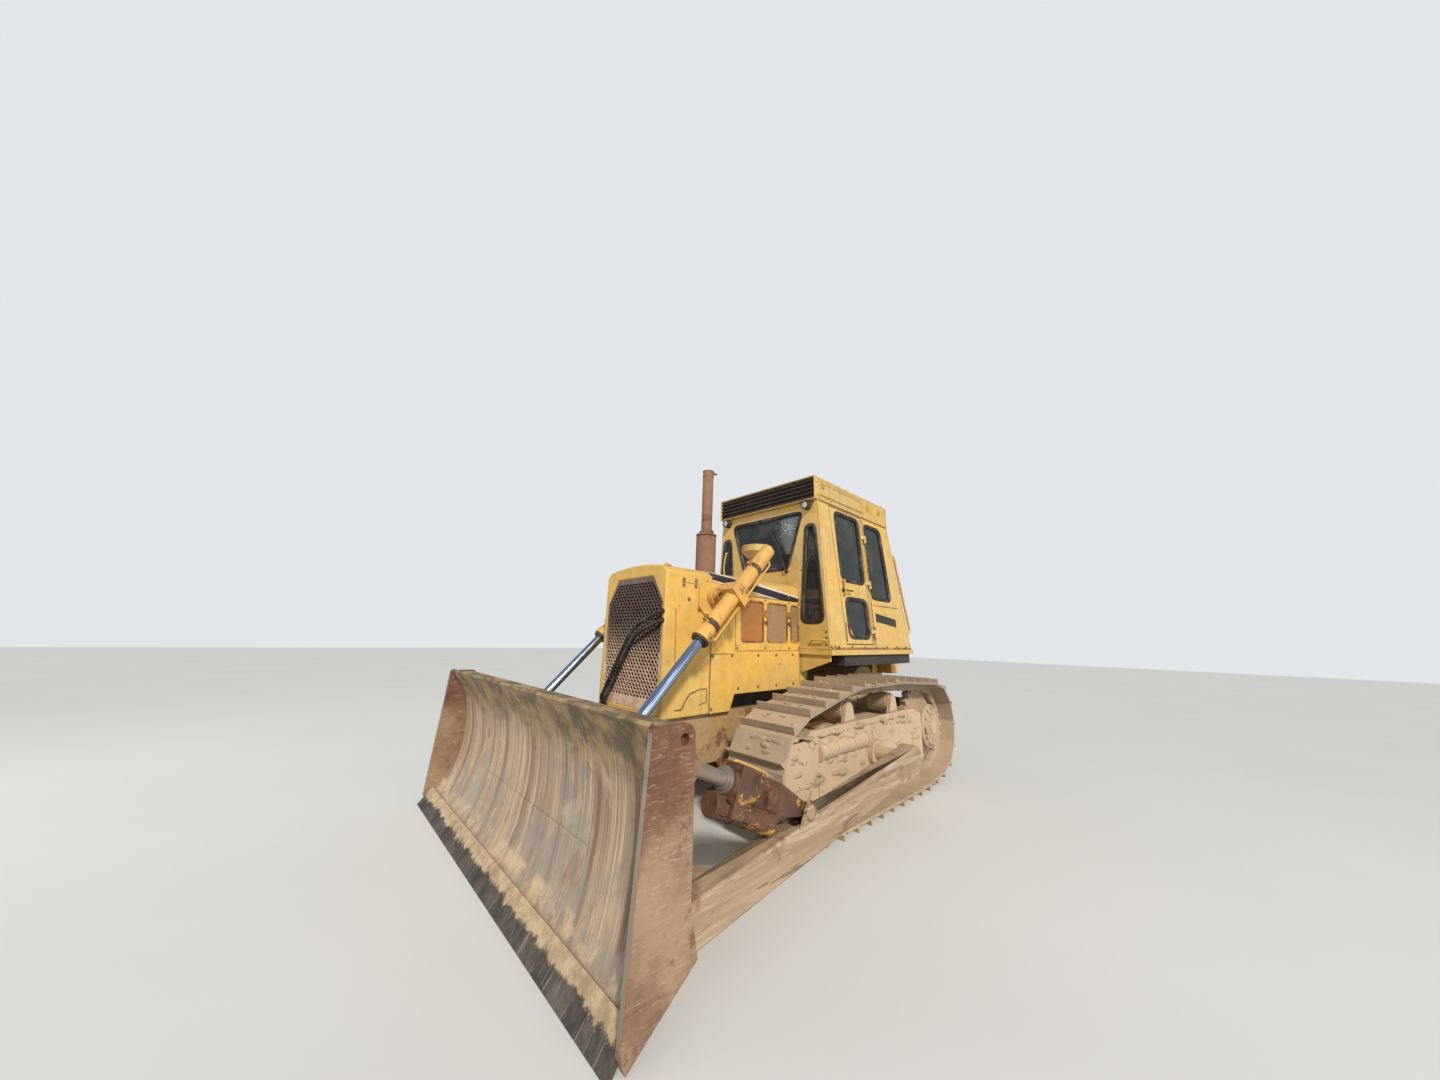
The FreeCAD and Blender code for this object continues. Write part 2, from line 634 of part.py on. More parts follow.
def track():
    """The left track: shoes with one grouser each on two link rails."""
    pins = belt_points()
    seat = value("shoe_seat")
    plate = value("shoe_top")
    tip = value("grouser_rise")
    depth = value("rail_depth")
    joint = seat + 8
    # Share of the link, height over the pin line
    shoe_outside = (
        (0.03, joint),
        (0.03, plate),
        (0.07, tip),
        (0.13, tip),
        (0.20, plate),
        (0.97, plate),
        (0.97, joint),
    )
    shoe_inside = ((0.0, seat),)
    rail_outside = ((0.0, seat + 4),)
    rail_inside = ((0.03, -depth * 0.55), (0.14, -depth), (0.86, -depth))
    middle = value("half_gauge")
    half = value("shoe_width") / 2
    rail = value("rail_middle")
    rail_half = value("rail_wide") / 2
    chain = belt_ring(pins, shoe_outside, shoe_inside, middle - half, middle + half)
    for side in (-1, 1):
        low = middle + side * rail - rail_half
        chain = chain.fuse(belt_ring(pins, rail_outside, rail_inside, low, low + 2 * rail_half))
    return solid_of(chain)


track_left = node("track_left", track())
node("track_right", mirrored(track_left))


# Sprockets

def sprocket():
    """A toothed wheel between the final drive's housing and its cover, on the left track's middle."""
    teeth = 25
    root = value("sprocket_root")
    tip = value("sprocket_tip")
    # Share of a tooth's pitch, radius
    tooth = ((0.0, root), (0.22, root), (0.40, tip), (0.82, tip))
    corners = []
    for number in range(teeth):
        for share, radius in tooth:
            angle = 2 * math.pi * (number + share) / teeth
            corners.append(Vector(0, radius * math.cos(angle), radius * math.sin(angle)))
    rim = Part.Face(Part.makePolygon(corners + corners[:1]))
    wheel = solid_of(rim.extrude(Vector(value("sprocket_thick"), 0, 0)))
    return place(wheel, "half_gauge - sprocket_thick / 2", "sprocket_y", "sprocket_z")


sprockets = sprocket()
node("sprockets", group(sprockets, mirrored(sprockets)))


# Final drives, idlers and rollers: turned pieces on shafts across the machine

def turned_x(outline, x, y, z):
    """A piece turned about X: outline corners are (along X, radius)."""
    return place(spin("XY", "X", outline), x, y, z)


SPROCKET_IN = "half_gauge - sprocket_thick / 2"
SPROCKET_OUT = "half_gauge + sprocket_thick / 2"
housing = turned_x(
    [
        ("case_half", "0"),
        ("case_half", "drive_radius"),
        (SPROCKET_IN + " - 50", "drive_radius"),
        (SPROCKET_IN, "drive_radius - 40"),
        (SPROCKET_IN, "0"),
    ],
    0, "sprocket_y", "sprocket_z",
)
cover = turned_x(
    [
        (SPROCKET_OUT, "0"),
        (SPROCKET_OUT, "hub_radius"),
        (SPROCKET_OUT + " + hub_out - hub_taper", "hub_radius"),
        (SPROCKET_OUT + " + hub_out", "hub_radius - hub_lip"),
        (SPROCKET_OUT + " + hub_out", "0"),
    ],
    0, "sprocket_y", "sprocket_z",
)
node("final_drives", group(housing, cover, mirrored(housing), mirrored(cover)))

RAIL_EDGE = "(rail_middle + rail_wide / 2)"
FORK_HALF = "(beam_wide / 2)"
idler = turned_x(
    [
        ("-" + FORK_HALF, "0"),
        ("-" + FORK_HALF, "55"),
        ("-" + RAIL_EDGE, "55"),
        ("-" + RAIL_EDGE, "idler_tread"),
        (RAIL_EDGE, "idler_tread"),
        (RAIL_EDGE, "55"),
        (FORK_HALF, "55"),
        (FORK_HALF, "0"),
    ],
    "half_gauge", "idler_y", "idler_z",
)
node("idlers", group(idler, mirrored(idler)))

ROLLER_COUNT = 6
ROLLER_Z = "grouser_rise + rail_depth + roller_radius + roller_slack"
rollers = []
for number in range(ROLLER_COUNT):
    y = "roller_first_y + %d * roller_step" % number
    rollers.append(round_bar(
        "roller_radius", "half_gauge - " + FORK_HALF, "half_gauge + " + FORK_HALF, y, ROLLER_Z,
    ))
for y in ("carrier_front_y", "carrier_rear_y"):
    rollers.append(round_bar(
        "carrier_radius", "half_gauge - " + RAIL_EDGE, "half_gauge + %s + 10" % RAIL_EDGE, y, "carrier_z",
    ))
node("rollers", group(*(rollers + [mirrored(roller) for roller in rollers])))


# Track frames: a beam on the rollers, a fork round the idler, guards and carrier brackets

BEAM_IN = "half_gauge - beam_wide / 2"
BEAM_OUT = "half_gauge + beam_wide / 2"


def track_frame():
    """The left track frame with the ball that carries the push arm."""
    beam = box(BEAM_IN, BEAM_OUT, "beam_front_y", "beam_rear_y", "beam_low", "beam_high")
    inner = pad(
        "YZ", BEAM_IN + " - guard_thick", BEAM_IN,
        [
            ("beam_rear_y", "guard_low"),
            ("beam_rear_y", "beam_high"),
            ("beam_front_y", "beam_high"),
            ("idler_y - 90", "idler_z + 120"),
            ("idler_y - 90", "idler_z - 120"),
            ("beam_front_y", "guard_low"),
        ],
    )
    outer = pad(
        "YZ", BEAM_OUT, BEAM_OUT + " + guard_thick",
        [
            ("sprocket_y - hub_radius - 40", "guard_low + 90"),
            ("sprocket_y - hub_radius - 40", "guard_high - 60"),
            ("sprocket_y - hub_radius - 220", "guard_high"),
            ("idler_y + 40", "guard_high"),
            ("idler_y - 210", "idler_z + 60", "265"),
            ("idler_y - 120", "guard_low + 40"),
            ("idler_y + 120", "guard_low"),
            ("sprocket_y - hub_radius - 260", "guard_low"),
        ],
    )
    brackets = []
    for y in ("carrier_front_y", "carrier_rear_y"):
        brackets.append(pad(
            "YZ", "half_gauge + %s + 10" % RAIL_EDGE, BEAM_OUT,
            [
                (y + " - 105", "beam_high"),
                (y + " + 105", "beam_high"),
                (y + " + 62", "carrier_z + 40"),
                (y + " + 30", "carrier_z + 72"),
                (y + " - 30", "carrier_z + 72"),
                (y + " - 62", "carrier_z + 40"),
            ],
        ))
    shaft = turned_x(
        [
            (BEAM_OUT + " + guard_thick", "0"),
            (BEAM_OUT + " + guard_thick", "ball_foot"),
            (BEAM_OUT + " + guard_thick + 40", "ball_foot"),
            (BEAM_OUT + " + guard_thick + 40", "ball_neck"),
            ("arm_x - sqrt(ball_radius ^ 2 - ball_neck ^ 2)", "ball_neck", "-ball_radius"),
            ("arm_x + ball_end", "sqrt(ball_radius ^ 2 - ball_end ^ 2)"),
            ("arm_x + ball_end", "0"),
        ],
        0, "ball_y", "ball_z",
    )
    return fuse(beam, inner, outer, *(brackets + [shaft]))


frame_left = node("track_frame_left", track_frame())
node("track_frame_right", mirrored(frame_left))


# Main frame, drive case and what joins the track frames to them

def main_frame():
    """Two side rails on a belly plate, tied by cross members that carry the engine."""
    rail = box("rail_in", "rail_out", "frame_front_y", "frame_rear_y", "frame_low", "frame_high")
    belly = pad(
        "YZ", "-rail_out", "rail_out",
        [
            ("frame_front_y", "frame_low + 60"),
            ("frame_front_y + 120", "frame_low - belly_thick"),
            ("frame_rear_y", "frame_low - belly_thick"),
            ("frame_rear_y", "frame_low"),
            ("frame_front_y + 130", "frame_low"),
            ("frame_front_y + 20", "frame_low + 75"),
        ],
    )
    front = box("-rail_in", "rail_in", "frame_front_y", "frame_front_y + 70", "frame_low + 60", "frame_high")
    ties = [front]
    for y in ("guard_rear_y + 40", "-20"):
        ties.append(box("-rail_in", "rail_in", y, y + " + 90", "engine_low - 70", "engine_low"))
    return fuse(rail, mirrored(rail), belly, *ties)


def drive_case():
    """Transmission and steering clutch case, with the holes that take a winch or ripper."""
    block = pad(
        "YZ", "-case_half", "case_half",
        [
            ("frame_rear_y", "case_low"),
            ("case_rear_y - 60", "case_low"),
            ("case_rear_y", "case_low + 60"),
            ("case_rear_y", "case_high"),
            ("frame_rear_y + 120", "case_high"),
            ("frame_rear_y", "case_high - 90"),
        ],
    )
    drum = round_bar("drum_radius", "-case_half", "case_half", "sprocket_y", "drum_z")
    holes = []
    for x in (-1, 1):
        for z in (0, 1):
            hole = doc.addObject("Part::Cylinder", "Hole")
            bind(hole, "Radius", "winch_hole")
            bind(hole, "Height", "winch_depth")
            hole.Placement.Rotation = FreeCAD.Rotation(Vector(1, 0, 0), 90)
            place(hole, "%d * winch_across / 2" % x, "case_rear_y", "winch_z + %d * winch_up" % z)
            holes.append(hole)
    return cut(fuse(block, drum), *holes)


def suspension():
    """The equalizer bar across the front and the pivot shafts at the rear."""
    reach = BEAM_IN + " - guard_thick"
    bar = pad(
        "XZ", "equalizer_y - 55", "equalizer_y + 55",
        [
            ("-(%s)" % reach, "frame_low - belly_thick - 95"),
            ("-120", "frame_low - belly_thick - 130"),
            ("120", "frame_low - belly_thick - 130"),
            (reach, "frame_low - belly_thick - 95"),
            (reach, "frame_low - belly_thick - 10"),
            ("120", "frame_low - belly_thick"),
            ("-120", "frame_low - belly_thick"),
            ("-(%s)" % reach, "frame_low - belly_thick - 10"),
        ],
    )
    pivot = round_bar("pivot_radius", "case_half", reach, "frame_rear_y + 80", "frame_low + 110")
    return group(bar, pivot, mirrored(pivot))


def drawbar():
    """A bar under the drive case with the hole for a towing pin."""
    body = pad(
        "XY", "drawbar_low", "drawbar_low + drawbar_thick",
        [
            ("-drawbar_half", "frame_rear_y + 500"),
            ("drawbar_half", "frame_rear_y + 500"),
            ("drawbar_half", "drawbar_rear_y - 160"),
            ("drawbar_half - 20", "drawbar_rear_y - 40"),
            ("drawbar_half - 50", "drawbar_rear_y"),
            ("-drawbar_half + 50", "drawbar_rear_y"),
            ("-drawbar_half + 20", "drawbar_rear_y - 40"),
            ("-drawbar_half", "drawbar_rear_y - 160"),
        ],
    )
    return cut(body, post("drawbar_pin", 0, "drawbar_rear_y - 65", "drawbar_low - 5", "drawbar_low + 200"))


node("main_frame", main_frame())
node("drive_case", drive_case())
node("suspension_bars", suspension())
node("drawbar", drawbar())
node("engine", box("-engine_half", "engine_half", "guard_rear_y + 5", "hood_rear_y - 60",
                   "engine_low", "engine_high"))


# Radiator guard, grille and hood

def crowned(inset):
    """The hood's section across: plumb sides, sloped shoulders and a crowned top."""
    half = "hood_half - %s" % inset
    edge = "hood_edge_half - %s * 0.6" % inset
    shoulder = "hood_shoulder_z - %s * 0.6" % inset
    top = "hood_edge_z - %s" % inset
    return half, edge, shoulder, top


def crowned_outline(inset, foot):
    """Corners of the hood's section, closed across its foot."""
    half, edge, shoulder, top = crowned(inset)
    return [
        ("-(%s)" % half, foot),
        (half, foot),
        (half, shoulder),
        (edge, top, "hood_crown - %s" % inset),
        ("-(%s)" % edge, top),
        ("-(%s)" % half, shoulder),
    ]


GRILLE_OPENING = [
    ("-grille_half", "grille_low_z"),
    ("grille_half", "grille_low_z"),
    ("grille_half", "grille_chamfer_z"),
    ("grille_top_half", "grille_top_z"),
    ("-grille_top_half", "grille_top_z"),
    ("-grille_half", "grille_chamfer_z"),
]
GRILLE_RIM = [
    ("-grille_half + grille_rim", "grille_low_z + grille_rim"),
    ("grille_half - grille_rim", "grille_low_z + grille_rim"),
    ("grille_half - grille_rim", "grille_chamfer_z - grille_rim * 0.6"),
    ("grille_top_half - grille_rim * 0.6", "grille_top_z - grille_rim"),
    ("-grille_top_half + grille_rim * 0.6", "grille_top_z - grille_rim"),
    ("-grille_half + grille_rim", "grille_chamfer_z - grille_rim * 0.6"),
]


def radiator_guard():
    """A heavy box round the radiator, open to the engine and cut for the grille."""
    face = pad(
        "XZ", "guard_front_y", "guard_front_y + guard_face",
        crowned_outline("0", "frame_high"), GRILLE_OPENING,
    )
    shell = pad(
        "XZ", "guard_front_y + guard_face", "guard_rear_y",
        crowned_outline("0", "frame_high"), crowned_outline("guard_wall", "frame_high + guard_wall"),
    )
    return fuse(face, shell)


def radiator_grille():
    """Two layers of slanting bars in a rim, which make the grille's diamonds."""
    front = "guard_front_y + 3"
    middle = "guard_front_y + guard_face / 2"
    back = "guard_front_y + guard_face - 3"
    rim = pad("XZ", front, back, GRILLE_OPENING, GRILLE_RIM)
    reach = value("grille_top_z - grille_low_z") + 2 * value("grille_half")
    step = value("grille_step")
    layers = [rim]
    for lean, near, far in ((1, front, middle + " - 0.2"), (-1, middle + " + 0.2", back)):
        bars = []
        depth = value("(%s) - (%s)" % (far, near))
        slope = math.radians(value("grille_slope")) * lean
        for number in range(int(-reach / step), int(reach / step) + 1):
            bar = Part.makeBox(value("grille_bar"), depth, 2 * reach)
            bar.translate(Vector(-value("grille_bar") / 2, 0, -reach))
            bar.rotate(Vector(0, 0, 0), Vector(0, 1, 0), math.degrees(slope))
            bar.translate(Vector(number * step, value(near), value("grille_low_z + 505")))
            bars.append(bar)
        layer = solid_of(Part.makeCompound(bars))
        layers.append(common(pad("XZ", near, far, GRILLE_RIM), layer))
    return fuse(*layers)


def hood():
    """The sheet over the engine, down to the side panels."""
    outside = crowned_outline("0", "door_high_z + 3")
    inside = crowned_outline("hood_wall", "door_high_z - 20")
    return cut(
        pad("XZ", "guard_rear_y", "hood_rear_y", outside),
        pad("XZ", "guard_rear_y - 5", "hood_rear_y + 5", inside),
    )


SCREENS = (
    # front, rear
    ("screen_first_y", "screen_first_y + 287"),
    ("screen_first_y + 359", "screen_first_y + 651"),
    ("screen_first_y + 723", "hood_rear_y - 22"),
)
SCREEN_LOW = "door_low_z + 85"
SCREEN_HIGH = "door_high_z - 45"


def engine_panel():
    """The left engine side panel with its three screened openings."""
    windows = []
    for front, rear in SCREENS:
        windows.append([
            (front, SCREEN_LOW),
            (rear, SCREEN_LOW),
            (rear, SCREEN_HIGH),
            (front, SCREEN_HIGH),
        ])
    return pad(
        "YZ", "hood_half - panel_thick", "hood_half",
        [
            ("skirt_step_y", "door_low_z"),
            ("hood_rear_y", "door_low_z"),
            ("hood_rear_y", "door_high_z"),
            ("skirt_step_y", "door_high_z"),
        ],
        *windows
    )


def engine_screens():
    """Perforated sheets that close the openings of the left panel."""
    screens = []
    for front, rear in SCREENS:
        screens.append(box("hood_half - panel_thick + 4", "hood_half - 5", front, rear,
                           SCREEN_LOW, SCREEN_HIGH))
    return screens


def skirt():
    """The lower side plate of the engine bay, with its upright at the front."""
    return pad(
        "YZ", "hood_half - panel_thick", "hood_half",
        [
            ("guard_rear_y", "frame_high"),
            ("skirt_step_y - 55", "frame_high"),
            ("skirt_step_y", "skirt_low_z"),
            ("hood_rear_y", "skirt_low_z"),
            ("hood_rear_y", "door_low_z"),
            ("skirt_step_y", "door_low_z"),
            ("skirt_step_y", "door_high_z"),
            ("guard_rear_y", "door_high_z"),
        ],
    )


def radiator_core():
    """The core with its tanks, as wide as the guard's inside."""
    half = "(hood_half - guard_wall)"
    return box("-" + half, half, "core_front_y", "core_front_y + core_deep",
               "frame_high + guard_wall", "grille_top_z - core_drop")


node("radiator_guard", radiator_guard())
node("radiator_grille", radiator_grille())
node("radiator_core", radiator_core())
node("hood", hood())
panel = engine_panel()
node("engine_panels", group(panel, mirrored(panel)))
screens = engine_screens()
node("engine_screens", group(*(screens + [mirrored(screen) for screen in screens])))
plate = skirt()
node("side_plates", group(plate, mirrored(plate)))


# Exhaust stack and air cleaner on the hood

HOOD_TOP = "hood_edge_z + hood_crown - sqrt(hood_crown ^ 2 - hood_edge_half ^ 2)"


def on_hood(piece, y):
    """A piece whose foot is cut to the hood's crowned top, just clear of it."""
    clear = crowned_outline("-seat_gap", "door_high_z")
    return cut(piece, pad("XZ", y + " - 200", y + " + 200", clear))


def exhaust():
    """Muffler, pipe and rain flap."""
    stack = spin(
        "XZ", "Z",
        [
            ("0", HOOD_TOP + " - 8"),
            ("muffler_radius", HOOD_TOP + " - 8"),
            ("muffler_radius", "muffler_high - 25"),
            ("stack_radius", "muffler_high + 10"),
            ("stack_radius", "stack_high"),
            ("stack_radius - 5", "stack_high"),
            ("stack_radius - 5", "stack_high - 260"),
            ("0", "stack_high - 260"),
        ],
    )
    place(stack, 0, "stack_y", 0)
    flap = post("stack_radius + 4", 0, "stack_y", "stack_high", "stack_high + 6")
    arm = box("-14", "14", "stack_y", "stack_y + stack_radius + 62", "stack_high", "stack_high + 12")
    return on_hood(fuse(stack, flap, arm), "stack_y")


def air_cleaner():
    """A bowl on a neck."""
    bowl = spin(
        "XZ", "Z",
        [
            ("0", HOOD_TOP + " - 20"),
            ("cleaner_neck", HOOD_TOP + " - 20"),
            ("cleaner_neck", "cleaner_high - 150"),
            ("cleaner_radius", "cleaner_high - 60"),
            ("cleaner_radius", "cleaner_high"),
            ("0", "cleaner_high"),
        ],
    )
    return on_hood(place(bowl, "cleaner_x", "cleaner_y", 0), "cleaner_y")


node("exhaust_stack", exhaust())
node("air_cleaner", air_cleaner())


# Cab

def wall_slab(outer, inner):
    """A leaning slab the length of the cab, between two depths below a side wall's outer face."""
    return pad(
        "XZ", "roof_front_y - 100", "cab_rear_low_y + 100",
        [
            ("cab_half_low - (%s)" % inner, "cab_low"),
            ("cab_half_low - (%s)" % outer, "cab_low"),
            ("cab_half_high - (%s)" % outer, "roof_low"),
            ("cab_half_high - (%s)" % inner, "roof_low"),
        ],
    )


def side_sheet(*outlines):
    """Outlines in the side view, extruded through one side wall."""
    return pad("YZ", "cab_half_high - 200", "cab_half_low + 100", *outlines)


def door_outline(gap):
    """The door opening, or the door itself when the gap is taken off."""
    low = "cab_low + sill_rise + %s" % gap
    high = "roof_low - head_drop - %s" % gap
    return [
        ("door_front_low_y + %s" % gap, low),
        ("door_rear_y - %s" % gap, low),
        ("door_rear_y - %s" % gap, high),
        ("door_front_high_y + %s" % gap, high),
    ]


SIDE_WINDOW = [
    ("side_window_front", "side_window_low"),
    ("side_window_rear + 20", "side_window_low"),
    ("side_window_rear - 60", "side_window_high"),
    ("side_window_front", "side_window_high"),
]
DOOR_WINDOW_HIGH = [
    ("pane_front + 30", "pane_high_foot"),
    ("pane_rear - pane_corner", "pane_high_foot"),
    ("pane_rear", "pane_high_foot + pane_corner"),
    ("pane_rear", "pane_high_top - pane_corner"),
    ("pane_rear - pane_corner", "pane_high_top"),
    ("pane_front - 10", "pane_high_top"),
    ("pane_front - 40", "pane_high_top - pane_corner"),
    ("pane_front", "pane_high_foot + pane_corner"),
]
DOOR_WINDOW_LOW = [
    ("pane_front + 130", "pane_low_foot"),
    ("pane_rear - pane_corner", "pane_low_foot"),
    ("pane_rear", "pane_low_foot + pane_corner"),
    ("pane_rear", "pane_low_top - pane_corner"),
    ("pane_rear - pane_corner", "pane_low_top"),
    ("pane_front + 60", "pane_low_top"),
    ("pane_front + 30", "pane_low_top - pane_corner"),
    ("pane_front + 40", "pane_low_foot + 150"),
]
QUARTER_WINDOW = [
    ("quarter_in", "quarter_low"),
    ("quarter_in + 225", "quarter_low"),
    ("quarter_in + 250", "quarter_low + pane_corner"),
    ("quarter_in + 178", "quarter_high - pane_corner"),
    ("quarter_in + 150", "quarter_high"),
    ("quarter_in + 85", "quarter_high"),
    ("quarter_in + 62", "quarter_high - 40"),
]


def mirrored_outline(outline):
    """The same outline on the other side of the machine's middle."""
    return [("-(%s)" % across, up) for across, up in outline][::-1]


WINDSHIELD = [
    ("-shield_half_low", "shield_low"),
    ("shield_half_low", "shield_low"),
    ("shield_half_high", "shield_high - 40"),
    ("shield_half_high - 30", "shield_high"),
    ("-shield_half_high + 30", "shield_high"),
    ("-shield_half_high", "shield_high - 40"),
]
REAR_WINDOW = [
    ("-rear_window_half", "rear_window_low"),
    ("rear_window_half", "rear_window_low"),
    ("rear_window_half", "rear_window_high"),
    ("-rear_window_half", "rear_window_high"),
]
FRONT_HOLES = (WINDSHIELD, QUARTER_WINDOW, mirrored_outline(QUARTER_WINDOW))
END_WALL = [
    ("-cab_half_low", "cab_low"),
    ("cab_half_low", "cab_low"),
    ("cab_half_high", "roof_low"),
    ("-cab_half_high", "roof_low"),
]
LEAN = "atan((cab_half_low - cab_half_high) / (roof_low - cab_low))"
HINGES = ("hinge_low", "hinge_low + hinge_step", "hinge_low + 2 * hinge_step")


def at_hinge(piece):
    """A piece built round the Z axis, set on the left door's leaning hinge line."""
    turn(piece, (0, 1, 0), "-" + LEAN)
    return place(piece, "cab_half_low + hinge_stand / cos(%s)" % LEAN, "door_rear_y", "cab_low")


def hinge_leaves(low, high, side):
    """A knuckle with its strap at each hinge: side is 1 for the wall's strap and -1 for the door's."""
    leaves = []
    for height in HINGES:
        foot = "(%s - cab_low) / cos(%s)" % (height, LEAN)
        strap = pad(
            "XY", foot + " + " + low, foot + " + " + high,
            [
                ("-hinge_stand - 2", "%d * (door_gap + 1)" % side),
                ("-knuckle", "0"),
                ("0", "0"),
                ("0", "%d * knuckle" % side),
                ("-hinge_stand + 6", "%d * strap_reach" % side),
                ("-hinge_stand - 2", "%d * strap_reach" % side),
            ],
        )
        leaves.append(fuse(post("knuckle", 0, 0, foot + " + " + low, foot + " + " + high), strap))
    return group(*leaves)


def cab_sides():
    """Both side walls with the door opening and the rear side window."""
    outline = [
        ("cab_front_y + cab_wall", "cab_low"),
        ("cab_rear_low_y - cab_wall", "cab_low"),
        ("cab_rear_high_y - cab_wall", "roof_low"),
        ("cab_front_y + cab_wall", "roof_low"),
    ]
    wall = common(wall_slab("0", "cab_wall"), side_sheet(outline, door_outline("0"), SIDE_WINDOW))
    left = fuse(wall, at_hinge(hinge_leaves("-hinge_long", "-seat_gap / 2", 1)))
    return group(left, mirrored(left))


def cab_rear():
    """The rear wall with its window."""
    strip = pad(
        "YZ", "-cab_half_low", "cab_half_low",
        [
            ("cab_rear_low_y - cab_wall", "cab_low"),
            ("cab_rear_low_y", "cab_low"),
            ("cab_rear_high_y", "roof_low"),
            ("cab_rear_high_y - cab_wall", "roof_low"),
        ],
    )
    return common(strip, pad("XZ", "cab_rear_high_y - 100", "cab_rear_low_y + 50", END_WALL, REAR_WINDOW))


def cab_glass():
    """Fixed panes, each filling its opening at mid wall."""
    front = []
    for outline in FRONT_HOLES:
        front.append(pad("XZ", "cab_front_y + glass_set", "cab_front_y + glass_set + glass_thick", outline))
    strip = pad(
        "YZ", "-cab_half_low", "cab_half_low",
        [
            ("cab_rear_low_y - glass_set - glass_thick", "cab_low"),
            ("cab_rear_low_y - glass_set", "cab_low"),
            ("cab_rear_high_y - glass_set", "roof_low"),
            ("cab_rear_high_y - glass_set - glass_thick", "roof_low"),
        ],
    )
    rear = common(strip, pad("XZ", "cab_rear_high_y - 100", "cab_rear_low_y + 50", REAR_WINDOW))
    side = common(wall_slab("glass_set", "glass_set + glass_thick"), side_sheet(SIDE_WINDOW))
    return group(*(front + [rear, side, mirrored(side)]))


def cab_roof():
    """A hollow roof box with a shallow recess across its front and a raised panel on each side."""
    shell = box("-roof_half", "roof_half", "roof_front_y", "roof_rear_y", "roof_low", "roof_high")
    hollow = box("-roof_half + roof_side", "roof_half - roof_side",
                 "cab_front_y + cab_wall + 5", "cab_rear_high_y - cab_wall - 2",
                 "roof_low - 5", "roof_high - roof_deck")
    recess = box("-roof_half + louvre_edge", "roof_half - louvre_edge",
                 "roof_front_y - 5", "roof_front_y + louvre_deep",
                 "roof_low + louvre_edge", "roof_high - louvre_edge")
    raised = box("roof_half - 1", "roof_half + 12", "roof_front_y + 40", "roof_front_y + 1010",
                 "roof_low + 48", "roof_high - 42")
    return fuse(cut(shell, hollow, recess), raised, mirrored(raised))


def roof_louvre():
    """Slats on a back plate in the roof's front recess."""
    back = box("-roof_half + louvre_edge", "roof_half - louvre_edge",
               "roof_front_y + louvre_deep - 10", "roof_front_y + louvre_deep",
               "roof_low + louvre_edge", "roof_high - louvre_edge")
    slats = []
    count = 5
    for number in range(count):
        foot = "roof_low + louvre_edge + %d * (roof_high - roof_low - 2 * louvre_edge) / %d" % (number, count)
        slats.append(pad(
            "YZ", "-roof_half + louvre_edge", "roof_half - louvre_edge",
            [
                ("roof_front_y + 6", foot + " + 4"),
                ("roof_front_y + 42", foot + " + 24"),
                ("roof_front_y + 42", foot + " + 34"),
                ("roof_front_y + 6", foot + " + 14"),
            ],
        ))
    return fuse(back, *slats)


def door():
    """The left cab door with two windows, its hinge straps and its handle."""
    sheet = side_sheet(door_outline("door_gap"), DOOR_WINDOW_HIGH, DOOR_WINDOW_LOW)
    leaf = common(wall_slab("0", "cab_wall"), sheet)
    straps = hinge_leaves("seat_gap / 2", "hinge_long", -1)
    handle = box("-hinge_stand - 2", "-hinge_stand + 34", "-handle_away - handle_wide", "-handle_away",
                 "handle_foot", "handle_foot + handle_long")
    grip = box("-hinge_stand", "-hinge_stand + 22", "-handle_away - handle_wide - 5", "-handle_away + 5",
               "handle_foot + handle_end", "handle_foot + handle_long - handle_end")
    return fuse(leaf, at_hinge(straps), at_hinge(cut(handle, grip)))


def door_glass():
    """The left door's two panes."""
    return group(
        common(wall_slab("glass_set", "glass_set + glass_thick"), side_sheet(DOOR_WINDOW_HIGH)),
        common(wall_slab("glass_set", "glass_set + glass_thick"), side_sheet(DOOR_WINDOW_LOW)),
    )


def seat():
    """Pedestal, cushion and back."""
    pedestal = box("-seat_half + 70", "seat_half - 70", "seat_y - 130", "seat_y + 170",
                   "cab_low", "seat_high - 110")
    cushion = box("-seat_half", "seat_half", "seat_y - 250", "seat_y + 240", "seat_high - 115", "seat_high")
    back = pad(
        "YZ", "-seat_half", "seat_half",
        [
            ("seat_y + 190", "seat_high - 40"),
            ("seat_y + 290", "seat_high - 60"),
            ("seat_y + 370", "seat_high + 480"),
            ("seat_y + 280", "seat_high + 480"),
        ],
    )
    return fuse(pedestal, cushion, back)


def controls():
    """Dash, steering levers, blade lever console and pedals."""
    dash = pad(
        "YZ", "-dash_half", "dash_half",
        [
            ("cab_front_y + cab_wall", "cab_low"),
            ("cab_front_y + cab_wall + 120", "cab_low"),
            ("cab_front_y + cab_wall + 190", "cab_low + 620"),
            ("cab_front_y + cab_wall + 120", "cab_low + 780"),
            ("cab_front_y + cab_wall", "cab_low + 780"),
        ],
    )
    pieces = [dash]
    for x in ("-lever_x", "lever_x"):
        lever = box(x + " - 10", x + " + 10", "seat_y - 550", "seat_y - 530", "cab_low", "cab_low + 640")
        knob = box(x + " - 22", x + " + 22", "seat_y - 562", "seat_y - 518", "cab_low + 630", "cab_low + 720")
        pieces.append(fuse(lever, knob))
    console = box("seat_half + 60", "seat_half + 210", "seat_y - 280", "seat_y + 220",
                  "cab_low", "cab_low + 560")
    stick = box("seat_half + 125", "seat_half + 145", "seat_y - 210", "seat_y - 190",
                "cab_low + 550", "cab_low + 740")
    pieces.append(fuse(console, stick))
    pieces.append(mirrored(console))
    for x in ("-190", "150"):
        pieces.append(box(x, x + " + 70", "cab_front_y + cab_wall + 190", "cab_front_y + cab_wall + 290",
                          "cab_low", "cab_low + 90"))
    return group(*pieces)


